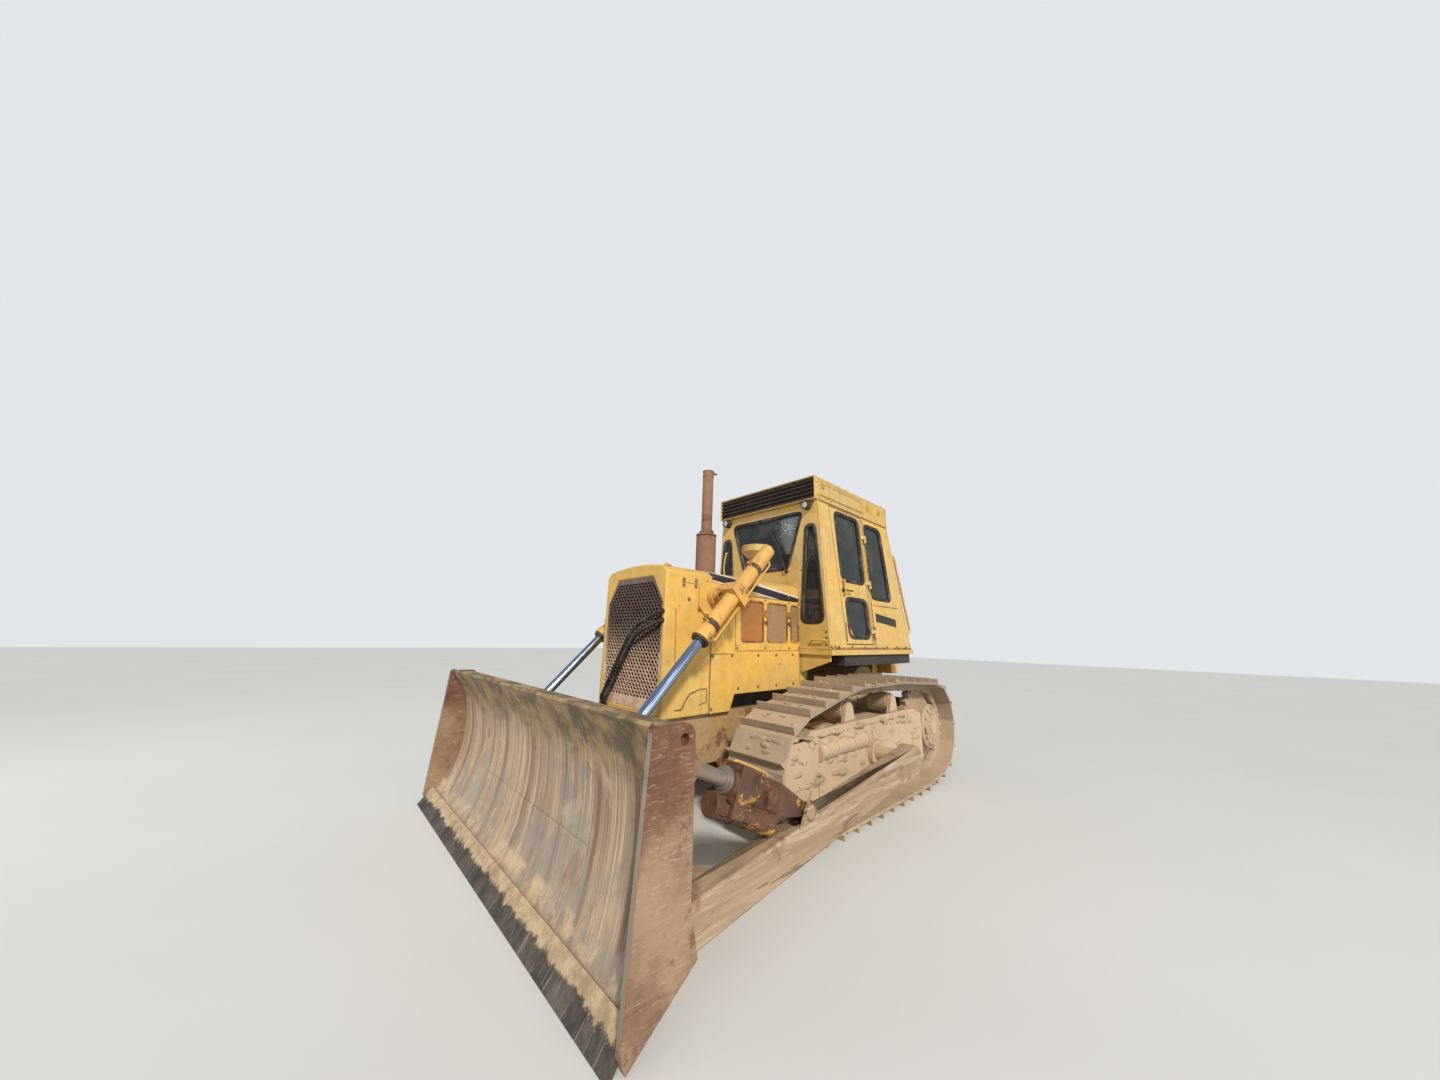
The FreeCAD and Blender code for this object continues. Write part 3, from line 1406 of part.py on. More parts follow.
def work_lamps():
    """Round lamps under the roof's front corners."""
    lamp = doc.addObject("Part::Cylinder", "Lamp")
    bind(lamp, "Radius", "lamp_radius")
    bind(lamp, "Height", "lamp_long")
    lamp.Placement.Rotation = FreeCAD.Rotation(Vector(1, 0, 0), 90)
    place(lamp, "lamp_x", "cab_front_y - 8", "lamp_z")
    stem = box("lamp_x - 14", "lamp_x + 14", "roof_front_y + 8", "roof_front_y + 34",
               "lamp_z + lamp_radius - 8", "roof_low")
    left = fuse(lamp, stem)
    return group(left, mirrored(left))


def handrails():
    """The left of the bent tubes behind the cab's rear corners."""
    return tube(
        (
            ("705", "1956.3", "2500"),
            ("705", "2040", "2500"),
            ("705", "2385", "1560"),
            ("705", "2117.1", "1560"),
        ),
        "rail_tube", "rail_bend",
    )


node("cab_floor", box("-cab_half_low - 20", "cab_half_low + 20", "cab_front_y", "cab_rear_low_y + 10",
                      "floor_low", "cab_low"))
node("cab_front", pad("XZ", "cab_front_y", "cab_front_y + cab_wall", END_WALL, *FRONT_HOLES))
node("cab_sides", cab_sides())
node("cab_rear", cab_rear())
node("cab_roof", cab_roof())
node("roof_louvre", roof_louvre())
node("cab_glass", cab_glass())
door_left = node("door_left", door())
node("door_right", mirrored(door_left))
door_glass_left = node("door_glass_left", door_glass())
node("door_glass_right", mirrored(door_glass_left))
node("seat", seat())
node("controls", controls())
node("work_lamps", work_lamps())
rear_rail = handrails()
node("handrails", group(rear_rail, mirrored(rear_rail)))


# Cab supports, boxes under the cab and the fuel tank

def cab_supports():
    """Posts from the frame and the drive case up to the floor, with front gussets."""
    front = box("rail_in", "rail_out + 30", "cab_front_y + 25", "cab_front_y + 145",
                "frame_high", "floor_low")
    rear = box("case_half - 130", "case_half", "case_rear_y - 262", "case_rear_y - 135",
               "case_high", "floor_low")
    gusset = pad(
        "XZ", "cab_front_y + 25", "cab_front_y + 50",
        [
            ("rail_out + 25", "floor_low - 190"),
            ("cab_half_low - 20", "floor_low - 60"),
            ("cab_half_low - 20", "floor_low"),
            ("rail_out + 25", "floor_low"),
        ],
    )
    left = fuse(front, gusset)
    return group(left, mirrored(left), rear, mirrored(rear))


def under_cab_boxes():
    """Tool and battery boxes that hang under the floor's sides."""
    left = box("rail_out + 30", "cab_half_low - 10", "cab_front_y + 285", "cab_rear_low_y - 50",
               "floor_low - 110", "floor_low")
    return group(left, mirrored(left))


node("cab_supports", cab_supports())
node("under_cab_boxes", under_cab_boxes())
tank = box("-tank_half", "tank_half", "tank_front_y", "tank_rear_y", "case_high", "tank_high")
filler = post("filler_radius", "tank_half - 120", "(tank_front_y + tank_rear_y) / 2",
              "tank_high - 1", "tank_high + 45")
node("fuel_tank", fuse(tank, filler))


# Lift cylinders: yokes on the radiator guard, swinging barrels and sliding rods

LIFT_TURN = "90 deg + atan((trunnion_z - lift_eye_z) / (trunnion_y - lift_eye_y))"


def lift_yoke():
    """A plate on the guard's side with the shaft that carries the left barrel."""
    plate = pad(
        "YZ", "hood_half", "hood_half + yoke_thick",
        [
            ("trunnion_y - 150", "trunnion_z - 90"),
            ("trunnion_y - 90", "trunnion_z - 150"),
            ("trunnion_y + 110", "trunnion_z - 150"),
            ("trunnion_y + 150", "trunnion_z - 90"),
            ("trunnion_y + 150", "trunnion_z + 60"),
            ("trunnion_y + 80", "trunnion_z + 115"),
            ("trunnion_y - 110", "trunnion_z + 115"),
            ("trunnion_y - 150", "trunnion_z + 60"),
        ],
    )
    boss = round_bar("stub_radius + 30", "hood_half + yoke_thick", "hub_in_x - 6", "trunnion_y", "trunnion_z")
    stub = round_bar("stub_radius", "hub_in_x - 8", "stub_end_x", "trunnion_y", "trunnion_z")
    return fuse(plate, boss, stub)


def lift_barrel():
    """The left barrel with its trunnion hub, open at the gland for the rod."""
    shell = post("lift_shell", 0, 0, "-barrel_tail", "gland_reach")
    collar = post("lift_shell + gland_rise", 0, 0, "gland_reach - gland_long", "gland_reach")
    clamp = box("-lift_shell - 14", "lift_shell + 14", "-lift_shell - clamp_rise", "lift_shell + clamp_rise",
                "-clamp_half", "clamp_half")
    hub = round_bar("stub_radius + 20", "hub_in_x - lift_x", "-lift_shell + 6", "0", "0")
    stub = round_bar("stub_radius + ball_fit", "hub_in_x - lift_x - 5", "stub_end_x - lift_x + 5", "0", "0")
    chamber = post("lift_bore", 0, 0, "-barrel_tail + 20", "gland_reach - 18")
    gland = post("lift_rod + ball_fit", 0, 0, "gland_reach - 20", "gland_reach + 5")
    barrel = cut(fuse(shell, collar, clamp, hub), chamber, gland, stub)
    turn(barrel, (1, 0, 0), LIFT_TURN)
    return place(barrel, "lift_x", "trunnion_y", "trunnion_z")


def lift_rod():
    """The left rod with its piston and its eye, the eye carrying a short pin."""
    rod = post("lift_rod", 0, 0, "-lift_stroke_rod", "-eye_radius + 15")
    piston = post("lift_bore - 0.5", 0, 0, "-lift_stroke_rod", "-lift_stroke_rod + 60")
    eye = round_bar("eye_radius", "-eye_half", "eye_half", "0", "0")
    pin = round_bar("eye_radius * 0.5", "-eye_half - 14", "eye_half + 14", "0", "0")
    whole = fuse(rod, piston, eye, pin)
    turn(whole, (1, 0, 0), LIFT_TURN)
    return place(whole, "lift_x", "lift_eye_y", "lift_eye_z")


yoke = lift_yoke()
node("lift_yokes", group(yoke, mirrored(yoke)))
barrel_left = node("lift_barrel_left", lift_barrel())
node("lift_barrel_right", mirrored(barrel_left))
rod_left = node("lift_rod_left", lift_rod())
node("lift_rod_right", mirrored(rod_left))


# Blade

EDGE_REAR_Y = "toe_y + edge_long * sin(edge_angle) + edge_thick * cos(edge_angle)"
EDGE_REAR_Z = "edge_long * cos(edge_angle) - edge_thick * sin(edge_angle)"
LIP_Z = "30"
LIP_Y = "(%s) - (%s - %s) * tan(edge_angle)" % (EDGE_REAR_Y, EDGE_REAR_Z, LIP_Z)
BACK_Y = "mold_thick * cos(edge_angle)"
BACK_Z = "mold_thick * sin(edge_angle)"
MOLD_FRONT = [
    (LIP_Y, LIP_Z),
    (EDGE_REAR_Y, EDGE_REAR_Z, "mold_radius"),
]
END_SET = "blade_half - end_thick"


def moldboard_plate():
    """The curved plate between the end plates."""
    return pad(
        "YZ", "-(%s)" % END_SET, END_SET,
        MOLD_FRONT + [
            ("blade_top_y", "blade_top_z"),
            (
                "blade_top_y + mold_thick * 0.7593",
                "blade_top_z + mold_thick * 0.6508",
                "-mold_radius - mold_thick",
            ),
            ("%s + %s" % (EDGE_REAR_Y, BACK_Y), "%s - %s" % (EDGE_REAR_Z, BACK_Z)),
            ("%s + %s" % (LIP_Y, BACK_Y), "%s - %s" % (LIP_Z, BACK_Z)),
        ],
    )


def blade_end():
    """The left end plate, which closes the moldboard's hollow and has a lifting hole."""
    return pad(
        "YZ", END_SET, "blade_half",
        [
            ("toe_y + 62", "6"),
            ("toe_y + 36", "60"),
            ("blade_top_y", "blade_top_z"),
            ("blade_top_y + 180", "blade_top_z", "-60"),
            ("blade_top_y + 224", "blade_top_z - 50"),
            ("blade_top_y + 230", "blade_top_z - 678"),
            ("arm_pin_y + 52", "arm_pin_z - 3"),
            ("arm_pin_y - 166", "arm_pin_z - 142"),
        ],
        ("blade_top_y + 165", "blade_top_z - 62", "circle", "lifting_hole"),
    )


def rib(x, thick, *outlines):
    """A plate behind the moldboard, its middle at x."""
    return pad("YZ", "%s - %s / 2" % (x, thick), "%s + %s / 2" % (x, thick), *outlines)


TOP_RAIL = [
    ("blade_top_y + 40", "blade_top_z - 9"),
    ("blade_top_y + 123", "blade_top_z - 149"),
    ("blade_top_y + 193", "blade_top_z - 149"),
    ("blade_top_y + 193", "blade_top_z - 34"),
    ("blade_top_y + 173", "blade_top_z - 9"),
]
FOOT_BOX = [
    ("arm_pin_y - 190", "arm_pin_z - 123"),
    ("arm_pin_y - 122", "arm_pin_z - 136"),
    ("arm_pin_y - 58", "arm_pin_z - 100"),
    ("arm_pin_y - 54", "arm_pin_z + 120"),
    ("arm_pin_y - 64", "arm_pin_z + 190"),
    ("arm_pin_y - 112", "arm_pin_z + 20"),
]
LIFT_RIB = [
    ("lift_eye_y - 134", "lift_eye_z - 212"),
    ("lift_eye_y + 15", "lift_eye_z - 82"),
    ("lift_eye_y + 75", "lift_eye_z - 12"),
    ("lift_eye_y + 68", "lift_eye_z + 48"),
    ("lift_eye_y + 15", "lift_eye_z + 82"),
    ("lift_eye_y - 179", "lift_eye_z + 208"),
    ("lift_eye_y - 158", "lift_eye_z + 78"),
    ("lift_eye_y - 138", "lift_eye_z - 62"),
]
ARM_EAR = [
    ("arm_pin_y - 190", "arm_pin_z - 120"),
    ("arm_pin_y - 60", "arm_pin_z - 100"),
    ("arm_pin_y + 45", "arm_pin_z - 75"),
    ("arm_pin_y + 85", "arm_pin_z"),
    ("arm_pin_y + 45", "arm_pin_z + 75"),
    ("arm_pin_y - 45", "arm_pin_z + 240"),
    ("arm_pin_y - 112", "arm_pin_z + 20"),
]
TILT_EAR = [
    ("tilt_eye_y - 118", "tilt_eye_z - 170"),
    ("tilt_eye_y + 20", "tilt_eye_z - 55"),
    ("tilt_eye_y + 58", "tilt_eye_z"),
    ("tilt_eye_y + 20", "tilt_eye_z + 55"),
    ("tilt_eye_y - 165", "tilt_eye_z + 120"),
    ("tilt_eye_y - 132", "tilt_eye_z + 20"),
]
EAR_SETS = (
    # middle, half gap, outline
    ("lift_x", "eye_half + eye_room + rib_thick / 2", LIFT_RIB),
    ("arm_x", "arm_wide / 2 + arm_gap + rib_thick / 2", ARM_EAR),
    ("brace_x", "brace_eye + brace_gap + rib_thick / 2", ARM_EAR),
    ("arm_x", "eye_half + tilt_room + rib_thick / 2", TILT_EAR),
)


def moldboard():
    """Moldboard, end plates, stiffening boxes and the ears behind it, welded into one."""
    pieces = [moldboard_plate(), blade_end(), mirrored(blade_end())]
    pieces.append(pad("YZ", "-(%s)" % END_SET, END_SET, TOP_RAIL))
    pieces.append(pad("YZ", "-brace_x + 60", "brace_x - 60", FOOT_BOX))
    for middle, apart, outline in EAR_SETS:
        for side in ("-", "+"):
            ear = rib("%s %s (%s)" % (middle, side, apart), "rib_thick", outline)
            pieces.append(ear)
            pieces.append(mirrored(ear))
    return fuse(*pieces)


def edge_plate(x0, x1):
    """A bolted plate along the blade's foot, ground flat below."""
    top_y = "toe_y + edge_long * sin(edge_angle)"
    top_z = "edge_long * cos(edge_angle)"
    return pad(
        "YZ", x0, x1,
        [
            ("toe_y", "0"),
            ("toe_y + edge_thick / cos(edge_angle)", "0"),
            ("%s + edge_thick * cos(edge_angle)" % top_y, "%s - edge_thick * sin(edge_angle)" % top_z),
            (top_y, top_z),
        ],
    )


def cutting_edge():
    """The long edge plate and an end bit on each side."""
    middle = edge_plate("-blade_half + end_bit + 3", "blade_half - end_bit - 3")
    bit = edge_plate("blade_half - end_bit", END_SET + " - seat_gap")
    return group(middle, bit, mirrored(bit))


PIN_SETS = (
    # middle, half gap between the ears, radius, y, z
    ("arm_x", "arm_wide / 2 + arm_gap", "pin_radius", "arm_pin_y", "arm_pin_z"),
    ("brace_x", "brace_eye + brace_gap", "pin_radius", "arm_pin_y", "arm_pin_z"),
    ("arm_x", "eye_half + tilt_room", "tilt_pin", "tilt_eye_y", "tilt_eye_z"),
)
LOCK_SETS = PIN_SETS + (
    ("lift_x", "eye_half + eye_room", "eye_radius / 2", "lift_eye_y", "lift_eye_z"),
)


def blade_pins():
    """Pins between the ears, and a square lock plate over each pin's end outside its ear."""
    pieces = []
    for middle, apart, radius, y, z in PIN_SETS:
        pieces.append(round_bar(radius, "%s - (%s)" % (middle, apart), "%s + (%s)" % (middle, apart), y, z))
    for middle, apart, radius, y, z in LOCK_SETS:
        for side in (-1, 1):
            face = "%s + %d * (%s + rib_thick)" % (middle, side, apart)
            low, high = (face, face + " + lock_thick") if side > 0 else (face + " - lock_thick", face)
            reach = "(%s + 4)" % radius
            pieces.append(box(low, high, "%s - %s" % (y, reach), "%s + %s" % (y, reach),
                              "%s - %s" % (z, reach), "%s + %s" % (z, reach)))
    return pieces


node("moldboard", moldboard())
node("cutting_edge", cutting_edge())
pins = blade_pins()
node("blade_pins", group(*(pins + [mirrored(pin) for pin in pins])))


# Push arms

ARM_SLOPE = "atan((ball_z - arm_pin_z) / (ball_y - arm_pin_y))"
ARM_LONG = "sqrt((ball_z - arm_pin_z) ^ 2 + (ball_y - arm_pin_y) ^ 2)"


def arm_line(along, up):
    """A point of the push arm: distance behind its front pin and height over its axis."""
    y = "arm_pin_y + (%s) * cos(%s) - (%s) * sin(%s)" % (along, ARM_SLOPE, up, ARM_SLOPE)
    z = "arm_pin_z + (%s) * sin(%s) + (%s) * cos(%s)" % (along, ARM_SLOPE, up, ARM_SLOPE)
    return y, z


def push_arm(bore, pin_room):
    """The left push arm, from the blade's pin to the round end over the ball."""
    inner = "arm_x - arm_wide / 2"
    outer = "arm_x + arm_wide / 2"
    half = "arm_tall / 2"
    beam = pad(
        "YZ", inner, outer,
        [
            arm_line("-arm_nose * 0.5", "-arm_nose * 0.85"),
            arm_line("arm_nose * 1.2", "-" + half),
            arm_line(ARM_LONG + " - 30", "-" + half),
            arm_line(ARM_LONG + " - 30", half),
            arm_line("arm_nose * 1.2", half),
            arm_line("-arm_nose * 0.5", "arm_nose * 0.85"),
            arm_line("-arm_nose", "0"),
        ],
    )
    rear = round_bar("arm_rear", inner, outer, "ball_y", "ball_z")
    lugs = []
    for side in (-1, 1):
        face = "arm_x + %d * (eye_half + lug_gap)" % side
        low, high = (face, face + " + lug_thick") if side > 0 else (face + " - lug_thick", face)
        lugs.append(pad(
            "YZ", low, high,
            [
                ("tilt_lug_y - 110", "tilt_lug_z - 90"),
                ("tilt_lug_y + 130", "tilt_lug_z - 75"),
                ("tilt_lug_y + 42", "tilt_lug_z + 20"),
                ("tilt_lug_y + 10", "tilt_lug_z + 42"),
                ("tilt_lug_y - 30", "tilt_lug_z + 34"),
                ("tilt_lug_y - 52", "tilt_lug_z"),
            ],
        ))
    pin = round_bar("tilt_pin", "arm_x - eye_half - lug_gap - 5", "arm_x + eye_half + lug_gap + 5",
                    "tilt_lug_y", "tilt_lug_z")
    lug_face = "arm_x + eye_half + lug_gap + lug_thick"
    boss = round_bar("tilt_boss", lug_face + " - 2", lug_face + " + 12", "tilt_lug_y", "tilt_lug_z")
    foot_y = arm_line("brace_foot", "0")[0]
    brace = pad(
        "XY", "arm_pin_z - brace_drop", "arm_pin_z + brace_rise",
        [
            ("brace_x - brace_half", "arm_pin_y + 20"),
            ("brace_x + brace_half", "arm_pin_y + 20"),
            ("brace_x + brace_half", "arm_pin_y + 170"),
            (inner + " + 5", foot_y + " - 110"),
            (inner + " + 5", foot_y),
            ("brace_x - brace_half", "arm_pin_y + 215"),
        ],
    )
    eye = round_bar("brace_end", "brace_x - brace_eye", "brace_x + brace_eye", "arm_pin_y", "arm_pin_z")
    solid = fuse(beam, rear, pin, boss, eye, brace, *lugs)
    socket = round_bar(bore, inner + " - 5", "arm_x + socket_deep", "ball_y", "ball_z")
    front = round_bar("pin_radius + " + pin_room, "brace_x - 60", outer + " + 5", "arm_pin_y", "arm_pin_z")
    return cut(solid, socket, front)


def arm_socket():
    """The ring between the right ball and its push arm, crowned outside so that the arm can tilt."""
    return turned_x(
        [
            ("-ring_half", "ball_radius + ball_fit"),
            ("ring_half", "ball_radius + ball_fit"),
            ("ring_half", "ring_radius - ring_crown"),
            ("0", "ring_radius"),
            ("-ring_half", "ring_radius - ring_crown"),
        ],
        "-arm_x", "ball_y", "ball_z",
    )


TILT_TURN = "90 deg - atan((tilt_eye_z - tilt_lug_z) / (tilt_lug_y - tilt_eye_y))"


def screw_brace():
    """The fixed brace on the right, in the place of the tilt cylinder."""
    reach = "sqrt((tilt_lug_y - tilt_eye_y) ^ 2 + (tilt_eye_z - tilt_lug_z) ^ 2)"
    bar = post("screw_radius", 0, 0, "30", reach + " - 30")
    sleeve = post("screw_radius + 16", 0, 0, reach + " * 0.35", reach + " * 0.62")
    eyes = [round_bar("screw_eye", "-eye_half", "eye_half", "0", z) for z in ("0", reach)]
    bores = [round_bar("tilt_pin + ball_fit", "-eye_half - 5", "eye_half + 5", "0", z) for z in ("0", reach)]
    brace = cut(fuse(bar, sleeve, *eyes), *bores)
    turn(brace, (1, 0, 0), TILT_TURN)
    return place(brace, "-arm_x", "tilt_lug_y", "tilt_lug_z")


def tilt_barrel():
    """The tilt cylinder's barrel with its square head, its tapered rear eye and the round case below it."""
    shell = post("tilt_shell", 0, 0, "tilt_tail", "tilt_gland")
    head = box("-head_half", "head_half", "-pod_drop - pod_radius / 2", "head_half",
               "tilt_gland - head_long", "tilt_gland - 15")
    neck = pad(
        "YZ", "-eye_half + 2", "eye_half - 2",
        [
            ("-36", "10"),
            ("36", "10"),
            ("tilt_shell - 4", "tilt_tail - 30"),
            ("tilt_shell - 4", "tilt_tail + 20"),
            ("-pod_drop", "tilt_tail + 20"),
            ("-tilt_shell + 4", "tilt_tail - 60"),
        ],
    )
    eye = round_bar("tilt_boss", "-eye_half + 2", "eye_half - 2", "0", "0")
    pod = post("pod_radius", 0, "-pod_drop", "tilt_tail - 10", "tilt_gland + 60")
    chamber = post("tilt_bore", 0, 0, "tilt_tail + 25", "tilt_gland - 18")
    gland = post("tilt_rod + ball_fit", 0, 0, "tilt_gland - 20", "tilt_gland + 5")
    bore = round_bar("tilt_pin + ball_fit", "-eye_half - 5", "eye_half + 5", "0", "0")
    barrel = cut(fuse(fuse(shell, head, pod), fuse(neck, eye)), chamber, gland, bore)
    turn(barrel, (1, 0, 0), TILT_TURN)
    return place(barrel, "arm_x", "tilt_lug_y", "tilt_lug_z")


def tilt_rod():
    """The tilt cylinder's rod, piston and eye."""
    rod = post("tilt_rod", 0, 0, "-tilt_rod_long", "-35")
    piston = post("tilt_bore - 0.5", 0, 0, "-tilt_rod_long", "-tilt_rod_long + 50")
    eye = round_bar("rod_end", "-eye_half", "eye_half", "0", "0")
    bore = round_bar("tilt_pin + tilt_slack", "-eye_half - 5", "eye_half + 5", "0", "0")
    whole = fuse(piston, rod, cut(eye, bore))
    turn(whole, (1, 0, 0), TILT_TURN)
    return place(whole, "arm_x", "tilt_eye_y", "tilt_eye_z")


node("push_arm_left", push_arm("ball_radius + ball_fit", "tilt_slack"))
node("push_arm_right", mirrored(push_arm("ring_radius + ball_fit", "ball_fit")))
node("arm_socket_right", arm_socket())
node("brace_right", screw_brace())
node("tilt_barrel", tilt_barrel())
node("tilt_rod", tilt_rod())


# Hoses held at both ends, across the grille

HOSE_ROUTES = (
    # stand off the guard, then x and z of each point from the left end to the right one
    ("40", (("425", "1625"), ("70", "1500"), ("-330", "930"), ("-362", "872"))),
    ("34", (("425", "1557"), ("90", "1440"), ("-290", "905"), ("-312", "868"))),
)


def hoses():
    """Two hoses over the grille, each leaving the guard's front squarely at both ends."""
    pieces = []
    for stand, route in HOSE_ROUTES:
        face = "guard_front_y - seat_gap"
        front = "guard_front_y - " + stand
        points = [(route[0][0], face, route[0][1])]
        points += [(x, front, z) for x, z in route]
        points.append((route[-1][0], face, route[-1][1]))
        pieces.append(tube(points, "hose_radius", "hose_bend"))
    return group(*pieces)


node("grille_hoses", hoses())


# Checks and files

doc.recompute()
for thing in doc.Objects:
    if "Invalid" in thing.State or "Error" in thing.State:
        raise ValueError("%s isn't sound: %s" % (thing.Label, thing.State))
for name, piece in nodes.items():
    if piece.Shape.isNull() or not piece.Shape.isValid():
        raise ValueError("%s has no sound shape" % name)
os.makedirs("parts", exist_ok=True)
for name, piece in nodes.items():
    piece.Shape.exportStep(os.path.join("parts", name + ".step"))
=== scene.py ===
import json
import math
import random

import bmesh
import bpy
from mathutils import Matrix, Vector, noise


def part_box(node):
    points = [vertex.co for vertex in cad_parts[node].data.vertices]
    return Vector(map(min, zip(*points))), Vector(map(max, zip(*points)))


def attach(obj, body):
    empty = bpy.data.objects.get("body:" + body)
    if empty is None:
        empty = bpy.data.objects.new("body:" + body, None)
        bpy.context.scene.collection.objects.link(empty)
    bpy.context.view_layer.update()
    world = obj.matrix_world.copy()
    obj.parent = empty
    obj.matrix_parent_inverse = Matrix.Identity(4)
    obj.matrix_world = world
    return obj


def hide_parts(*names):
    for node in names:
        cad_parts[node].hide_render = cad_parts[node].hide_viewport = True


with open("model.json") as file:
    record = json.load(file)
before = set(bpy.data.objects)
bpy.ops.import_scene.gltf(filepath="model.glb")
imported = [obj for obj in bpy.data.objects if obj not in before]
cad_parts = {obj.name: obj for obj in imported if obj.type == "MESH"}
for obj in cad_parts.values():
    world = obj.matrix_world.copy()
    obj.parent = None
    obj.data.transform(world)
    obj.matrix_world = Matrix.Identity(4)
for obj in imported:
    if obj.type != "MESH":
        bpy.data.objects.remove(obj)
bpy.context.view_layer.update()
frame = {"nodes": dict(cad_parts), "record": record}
nodes = frame["nodes"]
rng = random.Random(11)


# Shader helpers

class Paint:
    """A node material with short ways to add its nodes."""

    def __init__(self, name):
        self.mat = bpy.data.materials.new(name)
        self.mat.use_nodes = True
        self.tree = self.mat.node_tree
        self.tree.nodes.clear()
        self.out = self.tree.nodes.new("ShaderNodeOutputMaterial")
        self.bsdf = self.tree.nodes.new("ShaderNodeBsdfPrincipled")
        self.tree.links.new(self.bsdf.outputs[0], self.out.inputs[0])
        self.place = self.add("ShaderNodeTexCoord").outputs["Object"]
        self.normal = self.add("ShaderNodeNewGeometry").outputs["Normal"]

    def add(self, kind, props=None, ins=None):
        n = self.tree.nodes.new(kind)
        for key, v in (props or {}).items():
            setattr(n, key, v)
        for key, v in (ins or {}).items():
            self.put(n.inputs[key], v)
        return n

    def put(self, socket, v):
        if isinstance(v, bpy.types.NodeSocket):
            self.tree.links.new(v, socket)
        else:
            if isinstance(v, (tuple, list)) and len(v) == 3 and socket.type == "RGBA":
                v = (*v, 1)
            socket.default_value = v

    def set(self, key, v):
        self.put(self.bsdf.inputs[key], v)

    def scaled(self, x, y, z):
        return self.add("ShaderNodeMapping", None, {"Vector": self.place, "Scale": (x, y, z)}).outputs[0]

    def noise(self, scale, detail=4, rough=0.55, at=None, distort=0.0):
        n = self.add("ShaderNodeTexNoise", None, {
            "Vector": at or self.place, "Scale": scale, "Detail": detail, "Roughness": rough, "Distortion": distort})
        return n.outputs["Fac"]

    def voronoi(self, scale, at=None, feature="F1"):
        n = self.add("ShaderNodeTexVoronoi", {"feature": feature}, {"Vector": at or self.place, "Scale": scale})
        return n.outputs["Distance"]

    def math(self, op, a, b=0.0, clamp=False):
        n = self.add("ShaderNodeMath", {"operation": op, "use_clamp": clamp})
        self.put(n.inputs[0], a)
        self.put(n.inputs[1], b)
        return n.outputs[0]

    def span(self, v, low, high, to_low=0.0, to_high=1.0):
        n = self.add("ShaderNodeMapRange", {"clamp": True, "interpolation_type": "SMOOTHSTEP"}, {
            "Value": v, "From Min": low, "From Max": high, "To Min": to_low, "To Max": to_high})
        return n.outputs[0]

    def mix(self, f, a, b, mode="MIX"):
        n = self.add("ShaderNodeMix", {"data_type": "RGBA", "blend_type": mode})
        self.put(n.inputs[0], f)
        self.put(n.inputs[6], a)
        self.put(n.inputs[7], b)
        return n.outputs[2]

    def axis(self, which, vector=None):
        n = self.add("ShaderNodeSeparateXYZ", None, {"Vector": vector or self.place})
        return n.outputs[which]

    def bump(self, height, distance=0.002, strength=0.6):
        n = self.add("ShaderNodeBump", None, {"Height": height, "Distance": distance, "Strength": strength})
        self.set("Normal", n.outputs[0])


RUST = (0.22, 0.085, 0.035)
DUST = (0.40, 0.31, 0.20)


def weathered(name, base, faded, rust=0.3, dust=0.4, low_dust=0.5, rough=0.55, streak=0.25, metal=0.0, grain=0.5,
              rust_colour=RUST, dust_colour=DUST, chips=0.3):
    """Old paint or bare steel: faded in patches, chipped and rusted, streaked downwards, dusty on top and below."""
    p = Paint(name)
    patch = p.span(p.noise(1.1, 5, 0.6), 0.35, 0.68)
    colour = p.mix(patch, base, faded)
    colour = p.mix(p.span(p.noise(9.0, 6, 0.65), 0.3, 0.75, 0.0, 0.22), colour, (0.10, 0.08, 0.06))
    runs = p.noise(1.0, 5, 0.6, p.scaled(13, 13, 0.9))
    colour = p.mix(p.span(runs, 0.52, 0.8, 0.0, streak), colour, rust_colour)
    chip = p.span(p.noise(5.5, 9, 0.72), 0.72 - 0.22 * rust, 0.76 - 0.16 * rust)
    fine = p.span(p.noise(26, 6, 0.7), 0.70 - 0.12 * chips, 0.74 - 0.1 * chips)
    worn = p.math("MAXIMUM", chip, p.math("MULTIPLY", fine, 0.8))
    shade = p.mix(p.noise(17, 5, 0.6), rust_colour, [c * 0.45 for c in rust_colour])
    colour = p.mix(worn, colour, shade)
    up = p.span(p.axis(2, p.normal), 0.25, 0.95, 0.0, dust)
    low = p.span(p.axis(2), 1.3, 0.05, 0.0, low_dust)
    cover = p.math("MULTIPLY", p.math("MAXIMUM", up, low), p.span(p.noise(3.2, 7, 0.65), 0.28, 0.62, 0.35, 1.0), True)
    colour = p.mix(cover, colour, dust_colour)
    p.set("Base Color", colour)
    p.set("Metallic", p.math("MULTIPLY", p.math("SUBTRACT", 1.0, cover), metal) if metal else 0.0)
    p.set("Roughness", p.span(p.math("ADD", p.math("MULTIPLY", worn, 0.5), p.noise(14, 4)), 0.2, 1.2, rough, min(1.0, rough + 0.3)))
    height = p.math("ADD", p.math("MULTIPLY", p.noise(60, 5, 0.6), grain), p.math("MULTIPLY", worn, -0.5))
    p.bump(height, 0.0015, 0.5)
    return p


YELLOW = (0.79, 0.455, 0.075)
FADED = (0.74, 0.47, 0.13)
TAN_DUST = (0.50, 0.37, 0.24)
BARE_RUST = (0.30, 0.11, 0.035)

